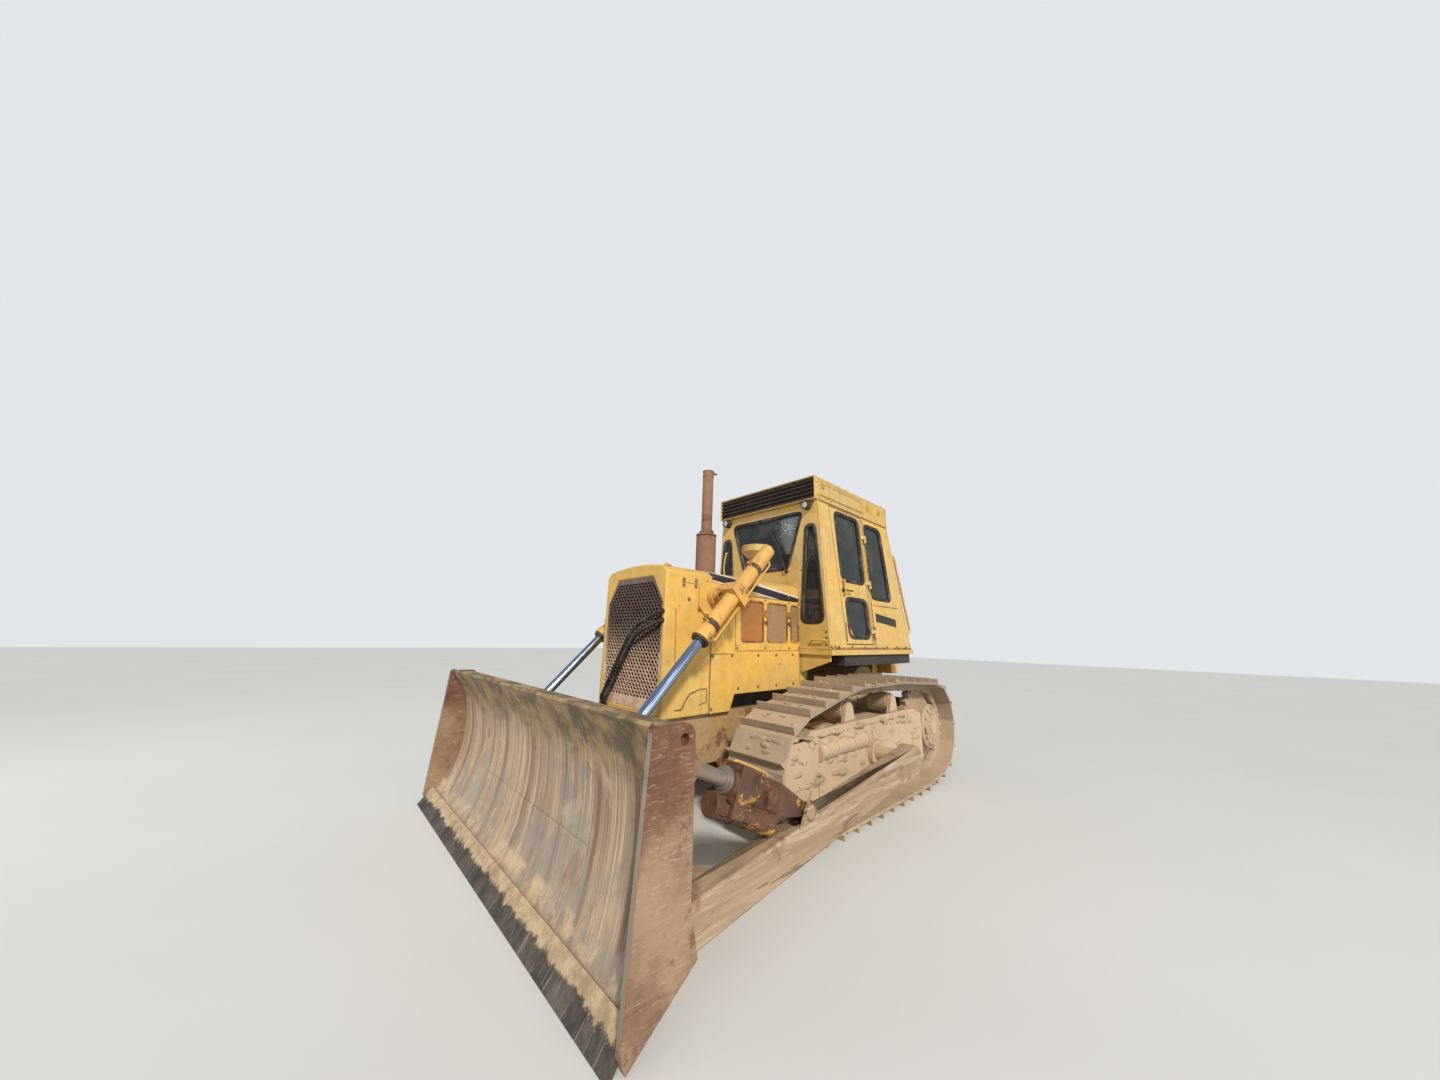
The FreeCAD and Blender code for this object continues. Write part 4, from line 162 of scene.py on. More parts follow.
# Finish: sound colour, faded colour, then rust, dust on top, dust below, roughness, streaks, metal, fine chips
FINISHES = {
    "yellow": (YELLOW, FADED, 0.40, 0.18, 0.20, 0.40, 0.22, 0.0, 0.4),
    "yellow_edge": ((0.55, 0.30, 0.06), (0.26, 0.13, 0.05), 1.15, 0.15, 0.2, 0.5, 0.4, 0.0, 1.3),
    "cab_yellow": ((0.72, 0.45, 0.11), (0.70, 0.48, 0.18), 0.40, 0.15, 0.0, 0.42, 0.25, 0.0, 0.5),
    "cab_edge": ((0.50, 0.29, 0.08), (0.25, 0.12, 0.05), 1.1, 0.15, 0.0, 0.5, 0.4, 0.0, 1.3),
    "roof_yellow": ((0.66, 0.42, 0.11), (0.60, 0.42, 0.17), 0.55, 0.3, 0.0, 0.5, 0.35, 0.0, 0.8),
    "panel_tan": ((0.50, 0.25, 0.08), (0.42, 0.27, 0.13), 0.8, 0.2, 0.0, 0.6, 0.4, 0.0, 0.8),
    "frame": ((0.54, 0.395, 0.25), (0.62, 0.46, 0.30), 0.3, 0.8, 1.0, 0.85, 0.1, 0.0, 0.3),
    "frame_yellow": ((0.50, 0.28, 0.07), (0.42, 0.28, 0.14), 0.8, 0.5, 0.35, 0.65, 0.35, 0.0, 0.8),
    "frame_edge": ((0.30, 0.20, 0.12), (0.22, 0.13, 0.08), 0.8, 0.5, 0.6, 0.7, 0.1, 0.1, 0.8),
    "track": ((0.33, 0.255, 0.18), (0.50, 0.395, 0.28), 0.3, 0.9, 0.65, 0.68, 0.1, 0.25, 0.5),
    "track_edge": ((0.42, 0.36, 0.30), (0.30, 0.24, 0.19), 0.3, 0.15, 0.2, 0.40, 0.0, 0.7, 0.6),
    "wheel": ((0.36, 0.27, 0.18), (0.44, 0.33, 0.22), 0.3, 0.8, 0.9, 0.8, 0.1, 0.1, 0.4),
    "cylinder": ((0.76, 0.40, 0.07), (0.68, 0.38, 0.10), 0.7, 0.2, 0.1, 0.42, 0.35, 0.0, 0.8),
    "exhaust": ((0.25, 0.125, 0.070), (0.32, 0.19, 0.12), 0.7, 0.1, 0.0, 0.8, 0.3, 0.0, 0.8),
    "dark": ((0.030, 0.026, 0.024), (0.06, 0.05, 0.04), 0.4, 0.35, 0.2, 0.7, 0.2, 0.0, 0.4),
    "louvre": ((0.030, 0.018, 0.013), (0.055, 0.032, 0.022), 0.5, 0.1, 0.0, 0.7, 0.3, 0.0, 0.6),
    "bolt": ((0.26, 0.16, 0.09), (0.34, 0.24, 0.15), 0.7, 0.3, 0.3, 0.55, 0.1, 0.35, 0.6),
    "black": ((0.022, 0.020, 0.019), (0.045, 0.038, 0.032), 0.3, 0.3, 0.1, 0.45, 0.1, 0.0, 0.3),
    # inside: the cab's inside, its dark brown a painted shade so the windows look dark.
    "inside": ((0.10, 0.075, 0.04), (0.06, 0.05, 0.035), 0.3, 0.2, 0.0, 0.8, 0.1, 0.0, 0.3),
}


def make_materials():
    """One material per finish, by name."""
    m = {}
    for name, (base, faded, rust, dust, low, rough, streak, metal, chips) in FINISHES.items():
        m[name] = weathered(name, base, faded, rust, dust, low, rough, streak, metal, chips=chips,
                            dust_colour=TAN_DUST if name in DUSTY else DUST).mat
    m["mud"] = mud_paint().mat
    m["arm"] = arm_paint().mat
    m["rusty"] = rusty_paint().mat
    m["blade"] = blade_paint().mat
    m["edge"] = edge_paint().mat
    m["mesh"] = mesh_paint().mat
    m["hood"] = banded_paint().mat
    m["screen"] = screen_paint().mat
    m["core"] = core_paint().mat
    m["chrome"] = chrome().mat
    m["glass"] = glass("glass", (0.020, 0.026, 0.022)).mat
    m["crack"] = crack_paint().mat
    m["vinyl"] = vinyl().mat
    m["hose"] = rubber("hose").mat
    m["gasket"] = rubber("gasket").mat
    m["lens"] = lens().mat
    return m


DUSTY = ("frame", "frame_edge", "track", "wheel")


def mud_paint():
    """Dried pale clay, lumpy, with darker damp hollows."""
    p = Paint("mud")
    tone = p.mix(p.span(p.noise(5, 8, 0.65), 0.3, 0.7), (0.40, 0.29, 0.18), (0.60, 0.45, 0.30))
    tone = p.mix(p.span(p.noise(22, 6, 0.7), 0.55, 0.75, 0.0, 0.6), tone, (0.27, 0.19, 0.12))
    p.set("Base Color", tone)
    p.set("Roughness", 0.95)
    p.bump(p.math("ADD", p.noise(30, 8, 0.7), p.math("MULTIPLY", p.noise(120, 4), 0.4)), 0.012, 0.9)
    return p


def arm_paint():
    """Push arm steel: rubbed lengthwise, pale clay in the scratches over brown rust."""
    p = Paint("arm")
    along = p.noise(1.0, 7, 0.68, p.scaled(26, 1.6, 26), 0.6)
    broad = p.noise(1.0, 5, 0.6, p.scaled(7, 0.8, 7), 0.5)
    base = p.mix(p.span(broad, 0.35, 0.65), (0.30, 0.20, 0.125), (0.42, 0.30, 0.195))
    base = p.mix(p.span(along, 0.52, 0.64, 0.0, 0.75), base, (0.56, 0.44, 0.31))
    base = p.mix(p.span(along, 0.44, 0.34, 0.0, 0.75), base, (0.15, 0.085, 0.05))
    base = p.mix(p.span(p.noise(3.4, 7, 0.7), 0.56, 0.68, 0.0, 0.7), base, (0.20, 0.09, 0.045))
    p.set("Base Color", base)
    p.set("Metallic", p.span(along, 0.5, 0.7, 0.0, 0.25))
    p.set("Roughness", p.span(along, 0.35, 0.65, 0.85, 0.55))
    p.bump(p.math("ADD", along, p.math("MULTIPLY", p.noise(55, 5), 0.3)), 0.003, 0.7)
    return p


def rusty_paint():
    """Tilt cylinder: deep rust and oil with bright orange runs and what is left of the yellow paint."""
    p = Paint("rusty")
    base = p.mix(p.span(p.noise(3.0, 7, 0.65), 0.35, 0.65), (0.055, 0.030, 0.020), (0.135, 0.062, 0.032))
    base = p.mix(p.span(p.noise(4.2, 8, 0.72), 0.55, 0.62), base, (0.45, 0.17, 0.035))
    base = p.mix(p.span(p.noise(2.6, 8, 0.7, p.scaled(1.3, 1.0, 1.6)), 0.57, 0.62), base, (0.62, 0.33, 0.06))
    base = p.mix(p.span(p.noise(7.5, 7, 0.7), 0.60, 0.72, 0.0, 0.8), base, (0.38, 0.27, 0.17))
    base = p.mix(p.span(p.noise(34, 5, 0.7), 0.5, 0.8, 0.0, 0.5), base, (0.04, 0.025, 0.018))
    p.set("Base Color", base)
    p.set("Roughness", p.span(p.noise(9, 5), 0.3, 0.7, 0.4, 0.8))
    p.bump(p.noise(48, 7, 0.7), 0.003, 0.7)
    return p


def crack_paint():
    """White splintered glass."""
    p = Paint("crack")
    p.set("Base Color", p.mix(p.noise(60, 4), (0.75, 0.80, 0.78), (0.45, 0.50, 0.48)))
    p.set("Roughness", 0.25)
    p.bump(p.noise(200, 2), 0.0004, 0.4)
    return p


def blade_paint():
    """Moldboard steel: curved scratches run up it, polished tan low down, darker rust and old clay near the top."""
    p = Paint("blade")
    x, y, z = p.axis(0), p.axis(1), p.axis(2)
    base = p.mix(p.span(p.noise(0.9, 6, 0.6), 0.3, 0.7), (0.50, 0.365, 0.245), (0.38, 0.255, 0.165))
    base = p.mix(p.span(p.noise(3.1, 8, 0.7), 0.48, 0.62, 0.0, 0.8), base, (0.47, 0.35, 0.24))
    sway = p.math("MULTIPLY", p.math("SINE", p.math("MULTIPLY", z, 2.6)), 0.16)
    drift = p.math("MULTIPLY", p.math("SUBTRACT", p.noise(1.3, 2), 0.5), 0.09)
    swept = p.add("ShaderNodeCombineXYZ", None, {
        "X": p.math("ADD", p.math("ADD", x, sway), drift), "Y": 0.0, "Z": p.math("MULTIPLY", z, 0.012)}).outputs[0]
    lines = p.noise(62.0, 5, 0.68, swept)
    wide = p.noise(8.0, 4, 0.6, swept)
    base = p.mix(p.span(lines, 0.53, 0.63, 0.0, 0.75), base, (0.80, 0.64, 0.47))
    base = p.mix(p.span(lines, 0.47, 0.35, 0.0, 0.70), base, (0.15, 0.085, 0.05))
    base = p.mix(p.span(wide, 0.48, 0.64, 0.0, 0.80), base, (0.19, 0.11, 0.065))
    blotch = p.noise(1.0, 6, 0.68, p.scaled(2.2, 2.2, 1.3), 0.6)
    base = p.mix(p.span(blotch, 0.54, 0.68, 0.0, 0.65), base, (0.18, 0.10, 0.058))
    base = p.mix(p.span(blotch, 0.44, 0.34, 0.0, 0.60), base, (0.66, 0.51, 0.37))
    high = p.span(p.math("ADD", z, p.math("MULTIPLY", p.noise(2.2, 6, 0.65), 0.5)), 0.94, 1.22, 0.0, 0.90)
    base = p.mix(high, base, p.mix(p.span(p.noise(4.5, 7, 0.7), 0.42, 0.6), (0.13, 0.082, 0.045), (0.40, 0.275, 0.13)))
    rusty = p.span(p.noise(2.3, 8, 0.7), 0.57, 0.66)
    base = p.mix(p.math("MULTIPLY", rusty, 0.6), base, (0.20, 0.085, 0.04))
    cool = p.span(p.math("ADD", p.noise(2.6, 8, 0.72), p.math("MULTIPLY", z, -0.20)), 0.40, 0.52, 0.0, 0.55)
    base = p.mix(cool, base, (0.27, 0.245, 0.215))
    seam = p.span(p.math("ABSOLUTE", p.math("SUBTRACT", z, 0.142)), 0.052, 0.02)
    base = p.mix(p.math("MULTIPLY", seam, p.span(p.noise(5, 7, 0.7), 0.42, 0.56, 0.0, 0.9)), base, (0.60, 0.45, 0.28))
    side = p.span(p.math("ABSOLUTE", x), 1.566, 1.5705)
    up = p.span(p.math("ADD", z, p.math("MULTIPLY", p.noise(3.5, 7, 0.7), 0.35)), 0.80, 1.02)
    plate = p.mix(p.span(p.noise(1.7, 7, 0.7), 0.40, 0.62), (0.34, 0.225, 0.14), (0.20, 0.11, 0.065))
    plate = p.mix(up, plate, p.mix(p.span(p.noise(2.6, 7, 0.7), 0.4, 0.62), (0.125, 0.044, 0.025), (0.20, 0.092, 0.052)))
    scrape = p.noise(1.0, 6, 0.72, p.scaled(3, 9, 64), 1.6)
    plate = p.mix(p.span(scrape, 0.53, 0.66, 0.0, 0.50), plate, (0.50, 0.37, 0.27))
    plate = p.mix(p.span(p.noise(5.5, 8, 0.72), 0.55, 0.63, 0.0, 0.7), plate, (0.15, 0.062, 0.035))
    p.set("Base Color", p.mix(side, base, plate))
    p.set("Metallic", p.span(lines, 0.55, 0.7, 0.05, 0.40))
    p.set("Roughness", p.span(lines, 0.4, 0.65, 0.72, 0.46))
    p.bump(p.math("ADD", lines, p.math("MULTIPLY", p.noise(50, 4), 0.4)), 0.0015, 0.5)
    return p


def mesh_paint():
    """Grille steel: sooty near the top, rubbed pink-tan rust below."""
    p = Paint("mesh")
    high = p.span(p.math("ADD", p.axis(2), p.math("MULTIPLY", p.noise(2.4, 5, 0.65), 0.5)), 1.45, 1.85)
    low = p.mix(p.span(p.noise(14, 6, 0.7), 0.35, 0.65), (0.86, 0.62, 0.46), (0.58, 0.36, 0.23))
    p.set("Base Color", p.mix(high, low, p.mix(p.noise(20, 5), (0.060, 0.046, 0.040), (0.24, 0.165, 0.12))))
    p.set("Metallic", 0.0)
    p.set("Roughness", p.span(p.noise(30, 4), 0.3, 0.7, 0.45, 0.75))
    p.bump(p.noise(90, 4), 0.0008, 0.5)
    return p


def edge_paint():
    """Cutting edge: clay caked along its upper part with a ragged lower border, dark worn steel below."""
    p = Paint("edge")
    steel = p.mix(p.span(p.noise(6, 7, 0.7), 0.35, 0.65), (0.060, 0.050, 0.042), (0.16, 0.125, 0.095))
    scratch = p.noise(1.0, 5, 0.7, p.scaled(55, 6, 3), 0.5)
    steel = p.mix(p.span(scratch, 0.55, 0.66, 0.0, 0.6), steel, (0.40, 0.34, 0.28))
    clay = p.mix(p.span(p.noise(9, 7, 0.7), 0.35, 0.65), (0.34, 0.245, 0.15), (0.56, 0.42, 0.27))
    ragged = p.math("ADD", p.axis(2), p.math("MULTIPLY", p.math("SUBTRACT", p.noise(7.0, 8, 0.72), 0.5), 0.14))
    caked = p.span(ragged, 0.058, 0.074)
    p.set("Base Color", p.mix(caked, steel, clay))
    p.set("Metallic", p.span(caked, 0.0, 1.0, 0.55, 0.0))
    p.set("Roughness", p.span(caked, 0.0, 1.0, 0.45, 0.95))
    p.bump(p.math("ADD", p.math("MULTIPLY", caked, 0.8), p.math("MULTIPLY", p.noise(60, 6, 0.7), 0.5)), 0.004, 0.8)
    return p


def banded_paint():
    """The hood's paint with a black band and a thin pale line above it on each side."""
    p = weathered("hood", YELLOW, FADED, rust=0.5, dust=0.40, low_dust=0.0, rough=0.42, chips=0.6)
    plain = p.bsdf.inputs["Base Color"].links[0].from_socket
    x, y, z = p.axis(0), p.axis(1), p.axis(2)
    line = p.math("ADD", p.math("MULTIPLY", p.math("ADD", y, 0.951), -0.1066), 1.988)
    down = p.math("SUBTRACT", line, z)
    side = p.span(p.math("ABSOLUTE", x), 0.36, 0.372)
    torn = p.span(p.noise(7, 8, 0.7), 0.34, 0.42)

    def stripe(top, low, colour, under):
        inside = p.math("MULTIPLY", p.span(down, top - 0.001, top + 0.001), p.span(down, low + 0.001, low - 0.001))
        return p.mix(p.math("MULTIPLY", p.math("MULTIPLY", inside, side), torn), under, colour)

    colour = stripe(-0.012, 0.006, (0.66, 0.62, 0.55), plain)
    colour = stripe(0.006, 0.074, (0.028, 0.024, 0.022), colour)
    colour = stripe(0.074, 0.086, (0.66, 0.60, 0.52), colour)
    colour = stripe(0.086, 0.094, (0.42, 0.10, 0.06), colour)
    p.set("Base Color", colour)
    return p


def screen_paint():
    """Perforated sheet: staggered dark holes in rusty tan steel."""
    p = Paint("screen")
    shift = p.span(p.axis(1), -0.30, -0.29)
    tan = p.mix(shift, (0.62, 0.235, 0.055), (0.50, 0.30, 0.14))
    tan = p.mix(p.span(p.noise(5, 6, 0.65), 0.40, 0.70, 0.0, 0.6), tan, (0.34, 0.16, 0.06))
    across = p.math("MULTIPLY", p.axis(1), 105.0)
    up = p.math("MULTIPLY", p.axis(2), 105.0)
    row = p.math("FLOOR", up)
    odd = p.math("MULTIPLY", p.math("MODULO", row, 2.0), 0.5)
    fy = p.math("SUBTRACT", p.math("FRACT", p.math("ADD", across, odd)), 0.5)
    fz = p.math("SUBTRACT", p.math("FRACT", up), 0.5)
    far = p.math("SQRT", p.math("ADD", p.math("MULTIPLY", fy, fy), p.math("MULTIPLY", fz, fz)))
    hole = p.span(far, 0.33, 0.28)
    p.set("Base Color", p.mix(hole, tan, (0.10, 0.045, 0.02)))
    p.set("Roughness", 0.75)
    p.bump(hole, -0.003, 0.8)
    return p


def core_paint():
    """Radiator fins: fine horizontal lines over dark dusty metal."""
    p = Paint("core")
    fins = p.math("FRACT", p.math("MULTIPLY", p.axis(2), 150.0))
    tubes = p.math("FRACT", p.math("MULTIPLY", p.axis(0), 60.0))
    base = p.mix(p.noise(6, 6), (0.008, 0.007, 0.006), (0.030, 0.022, 0.016))
    base = p.mix(p.span(tubes, 0.7, 0.8, 0.0, 0.6), base, (0.015, 0.013, 0.012))
    p.set("Base Color", base)
    p.set("Roughness", 0.8)
    p.bump(p.span(fins, 0.2, 0.8), 0.003, 0.6)
    return p


def chrome():
    """Polished rod, its steel tinted blue as a painted reflection of the sky, with a few dull runs of oil and dust."""
    p = Paint("chrome")
    film = p.span(p.noise(4, 4, 0.5), 0.55, 0.80, 0.0, 0.35)
    # The blue base colour is a painted reflection of the sky; the duller film mixed in is oil and dust.
    p.set("Base Color", p.mix(film, (0.34, 0.43, 0.60), (0.30, 0.27, 0.24)))
    p.set("Metallic", 1.0)
    p.set("Roughness", p.span(p.noise(5, 3), 0.3, 0.8, 0.13, 0.24))
    return p


def glass(name, tint_and_inside_shade):
    """Dusty window glass, near-black and nearly opaque: partly real tint, partly painted shade of the cab's inside."""
    p = Paint(name)
    film = p.span(p.noise(3.5, 7, 0.65), 0.35, 0.75)
    # The near-black colour at 80 to 90 percent alpha is partly real tint and partly painted shade of the cab's inside;
    # the pale film is dust.
    p.set("Base Color", p.mix(p.math("MULTIPLY", film, 0.12), tint_and_inside_shade, (0.30, 0.26, 0.20)))
    p.set("Roughness", p.span(film, 0.0, 1.0, 0.05, 0.20))
    p.set("IOR", 1.45)
    p.set("Alpha", p.span(film, 0.0, 1.0, 0.80, 0.90))
    p.set("Coat Weight", 0.6)
    p.mat.surface_render_method = "DITHERED"
    return p


def vinyl():
    """Black seat cover with a fine grain."""
    p = Paint("vinyl")
    p.set("Base Color", p.mix(p.noise(8, 5), (0.022, 0.020, 0.020), (0.060, 0.052, 0.045)))
    p.set("Roughness", p.span(p.noise(20, 4), 0.3, 0.7, 0.45, 0.7))
    p.bump(p.voronoi(180), 0.0006, 0.4)
    return p


def rubber(name):
    """Aged rubber with grey dust."""
    p = Paint(name)
    p.set("Base Color", p.mix(p.span(p.noise(9, 6, 0.6), 0.4, 0.7), (0.018, 0.017, 0.016), (0.11, 0.09, 0.07)))
    p.set("Roughness", p.span(p.noise(25, 4), 0.3, 0.7, 0.6, 0.85))
    p.bump(p.noise(90, 3), 0.0005, 0.3)
    return p


def lens():
    """Lamp lens: pale ribbed glass."""
    p = Paint("lens")
    ribs = p.math("FRACT", p.math("MULTIPLY", p.axis(0), 110.0))
    p.set("Base Color", p.mix(p.noise(9, 4), (0.55, 0.55, 0.50), (0.38, 0.36, 0.31)))
    p.set("Roughness", 0.18)
    p.set("Coat Weight", 0.8)
    p.bump(p.span(ribs, 0.1, 0.9), 0.002, 0.5)
    return p


M = make_materials()


# Mesh helpers

def settle(obj, body, mat):
    obj.data.materials.append(M[mat])
    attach(obj, body)
    return obj


def from_lists(name, verts, faces, smooth=False):
    mesh = bpy.data.meshes.new(name)
    mesh.from_pydata([tuple(v) for v in verts], [], faces)
    mesh.update()
    if smooth:
        for face in mesh.polygons:
            face.use_smooth = True
    obj = bpy.data.objects.new(name, mesh)
    bpy.context.scene.collection.objects.link(obj)
    return obj


class Soup:
    """Collects simple solids into one mesh."""

    def __init__(self):
        self.v = []
        self.f = []
        self.smooth = []

    def take(self, verts, faces, smooth=False):
        start = len(self.v)
        self.v += [Vector(v) for v in verts]
        self.f += [[start + i for i in face] for face in faces]
        self.smooth += [smooth] * len(faces)

    def block(self, low, high, turn=None, at=None):
        x0, y0, z0 = low
        x1, y1, z1 = high
        c = [Vector((x, y, z)) for x in (x0, x1) for y in (y0, y1) for z in (z0, z1)]
        if turn is not None:
            c = [at + turn @ (p - at) for p in c]
        self.take(c, [(0, 1, 3, 2), (4, 6, 7, 5), (0, 4, 5, 1), (2, 3, 7, 6), (0, 2, 6, 4), (1, 5, 7, 3)])

    def bar(self, a, b, wide, thick, up=(0, 0, 1)):
        """A rectangular bar from a to b."""
        a, b = Vector(a), Vector(b)
        way = (b - a).normalized()
        side = way.cross(Vector(up)).normalized()
        top = side.cross(way)
        c = []
        for p in (a, b):
            for s, t in ((-1, -1), (1, -1), (1, 1), (-1, 1)):
                c.append(p + side * (s * wide / 2) + top * (t * thick / 2))
        self.take(c, [(0, 1, 2, 3), (7, 6, 5, 4), (0, 4, 5, 1), (1, 5, 6, 2), (2, 6, 7, 3), (3, 7, 4, 0)])

    def disc(self, at, axis, radius, high, sides=6, turned=0.0, top=None):
        """A prism or cylinder standing on `at` along `axis`."""
        axis = Vector(axis).normalized()
        u = axis.orthogonal().normalized()
        w = axis.cross(u)
        top = radius if top is None else top
        ring = [(math.cos(2 * math.pi * i / sides + turned), math.sin(2 * math.pi * i / sides + turned)) for i in range(sides)]
        at = Vector(at)
        low = [at + u * (radius * c) + w * (radius * s) for c, s in ring]
        high_ring = [at + axis * high + u * (top * c) + w * (top * s) for c, s in ring]
        start = len(self.v)
        self.v += low + high_ring
        for i in range(sides):
            j = (i + 1) % sides
            self.f.append([start + i, start + j, start + sides + j, start + sides + i])
            self.smooth.append(sides > 8)
        self.f.append([start + sides + i for i in range(sides)])
        self.f.append([start + i for i in reversed(range(sides))])
        self.smooth += [False, False]

    def band(self, at, axis, inner, outer, high, sides=28):
        """A flat ring round a tube, from `at` along `axis`."""
        at, axis = Vector(at), Vector(axis).normalized()
        u = axis.orthogonal().normalized()
        w = axis.cross(u)
        start = len(self.v)
        for i in range(sides):
            angle = 2 * math.pi * i / sides
            out = u * math.cos(angle) + w * math.sin(angle)
            self.v += [at + out * inner, at + out * outer, at + out * outer + axis * high, at + out * inner + axis * high]
        for i in range(sides):
            j = (i + 1) % sides
            for k in range(4):
                m = (k + 1) % 4
                self.f.append([start + 4 * i + k, start + 4 * j + k, start + 4 * j + m, start + 4 * i + m])
                self.smooth.append(k % 2 == 1)

    def pipe(self, points, radius, sides=10, bend=None, steps=5):
        """A round tube through points, its corners rounded."""
        points = [Vector(p) for p in points]
        if bend:
            path = [points[0]]
            for a, b, c in zip(points, points[1:], points[2:]):
                come, leave = (b - a), (c - b)
                back = min(bend, come.length * 0.45, leave.length * 0.45)
                p0, p2 = b - come.normalized() * back, b + leave.normalized() * back
                for k in range(steps + 1):
                    t = k / steps
                    path.append(p0 * (1 - t) ** 2 + b * (2 * t * (1 - t)) + p2 * t ** 2)
            path.append(points[-1])
        else:
            path = points
        way = (path[1] - path[0]).normalized()
        u = way.orthogonal().normalized()
        start = len(self.v)
        for i, p in enumerate(path):
            a = path[max(i - 1, 0)]
            b = path[min(i + 1, len(path) - 1)]
            new = (b - a).normalized()
            u = (u - new * u.dot(new)).normalized()
            w = new.cross(u)
            for k in range(sides):
                angle = 2 * math.pi * k / sides
                self.v.append(p + u * (radius * math.cos(angle)) + w * (radius * math.sin(angle)))
        for i in range(len(path) - 1):
            for k in range(sides):
                j = (k + 1) % sides
                a = start + i * sides
                self.f.append([a + k, a + j, a + sides + j, a + sides + k])
                self.smooth.append(True)
        self.f.append([start + k for k in reversed(range(sides))])
        last = start + (len(path) - 1) * sides
        self.f.append([last + k for k in range(sides)])
        self.smooth += [False, False]

    def plate(self, outline, thick, to_world):
        """A flat outline (a, b) given a thickness, put in place by to_world(a, b, depth)."""
        n = len(outline)
        near = [to_world(a, b, 0.0) for a, b in outline]
        far = [to_world(a, b, thick) for a, b in outline]
        faces = [list(range(n)), [n + i for i in reversed(range(n))]]
        faces += [[i, n + i, n + (i + 1) % n, (i + 1) % n] for i in range(n)]
        self.take(near + far, faces)

    def mirror(self):
        """The same solids again on the other side of the machine."""
        start = len(self.v)
        self.v += [Vector((-p.x, p.y, p.z)) for p in self.v[:start]]
        for face in self.f[:]:
            self.f.append([start + i for i in reversed(face)])
        self.smooth += self.smooth[:]
        return self

    def made(self, name, body, slot_name, mat, bevel=0.0):
        obj = from_lists(name, self.v, self.f)
        obj.data.polygons.foreach_set("use_smooth", self.smooth)
        bm = bmesh.new()
        bm.from_mesh(obj.data)
        bmesh.ops.recalc_face_normals(bm, faces=bm.faces)
        bm.to_mesh(obj.data)
        bm.free()
        if bevel:
            soften(obj, bevel)
        return settle(obj, body, mat)


def soften(obj, width, segments=2):
    mod = obj.modifiers.new("edge", "BEVEL")
    mod.width = width
    mod.segments = segments
    mod.limit_method = "ANGLE"
    mod.angle_limit = math.radians(40)
    mod.harden_normals = True


def grid_along(a, b, count):
    a, b = Vector(a), Vector(b)
    return [a + (b - a) * (i / (count - 1)) for i in range(count)]


# Finishes of the CAD nodes

NODE_PAINT = {
    "track_left": "track", "track_right": "track", "sprockets": "wheel", "final_drives": "wheel", "idlers": "wheel",
    "rollers": "wheel", "track_frame_left": "frame", "track_frame_right": "frame", "main_frame": "frame_yellow",
    "drive_case": "frame", "suspension_bars": "frame", "drawbar": "frame", "engine": "dark", "radiator_guard": "yellow",
    "radiator_grille": "mesh", "radiator_core": "core", "hood": "hood", "engine_panels": "yellow",
    "engine_screens": "screen", "side_plates": "yellow", "exhaust_stack": "exhaust", "air_cleaner": "roof_yellow",
    "cab_floor": "cab_yellow", "cab_front": "cab_yellow", "cab_sides": "cab_yellow", "cab_rear": "cab_yellow",
    "cab_roof": "roof_yellow", "roof_louvre": "louvre", "cab_glass": "glass", "door_left": "cab_yellow",
    "door_right": "cab_yellow", "door_glass_left": "glass", "door_glass_right": "glass", "seat": "vinyl",
    "controls": "dark", "work_lamps": "dark", "handrails": "cab_yellow", "cab_supports": "cab_yellow",
    "under_cab_boxes": "dark", "fuel_tank": "yellow", "lift_yokes": "yellow", "lift_barrel_left": "cylinder",
    "lift_barrel_right": "cylinder", "lift_rod_left": "chrome", "lift_rod_right": "chrome", "moldboard": "blade",
    "cutting_edge": "edge", "blade_pins": "bolt", "push_arm_left": "arm", "push_arm_right": "arm",
    "arm_socket_right": "bolt", "brace_right": "rusty", "tilt_barrel": "rusty", "tilt_rod": "track_edge", "grille_hoses": "hose",
}
for name, obj in nodes.items():
    obj.data.materials.clear()
    obj.data.materials.append(M[NODE_PAINT[name]])


# Floor, light and camera

def floor_paint():
    p = Paint("floor")
    p.set("Base Color", p.mix(p.noise(0.6, 5), (0.66, 0.65, 0.63), (0.72, 0.71, 0.69)))
    p.set("Roughness", 0.85)
    return p.mat


floor = from_lists("floor", [(-40, -40, 0), (40, -40, 0), (40, 40, 0), (-40, 40, 0)], [(0, 1, 2, 3)])
floor.location.z = -0.001
floor.data.materials.append(floor_paint())

world = bpy.data.worlds.new("studio")
world.use_nodes = True
sky = world.node_tree.nodes["Background"]
sky.inputs["Color"].default_value = (0.80, 0.87, 0.96, 1)
sky.inputs["Strength"].default_value = 0.42
seen_sky = world.node_tree.nodes.new("ShaderNodeBackground")
seen_sky.inputs["Color"].default_value = (0.76, 0.79, 0.82, 1)
seen_sky.inputs["Strength"].default_value = 1.0
kind_of_ray = world.node_tree.nodes.new("ShaderNodeLightPath")
either = world.node_tree.nodes.new("ShaderNodeMath")
either.operation = "MAXIMUM"
sky_mix = world.node_tree.nodes.new("ShaderNodeMixShader")
link = world.node_tree.links.new
link(kind_of_ray.outputs["Is Camera Ray"], either.inputs[0])
link(kind_of_ray.outputs["Is Transmission Ray"], either.inputs[1])
link(either.outputs[0], sky_mix.inputs[0])
link(sky.outputs[0], sky_mix.inputs[1])
link(seen_sky.outputs[0], sky_mix.inputs[2])
link(sky_mix.outputs[0], world.node_tree.nodes["World Output"].inputs["Surface"])
scene = bpy.context.scene
scene.world = world


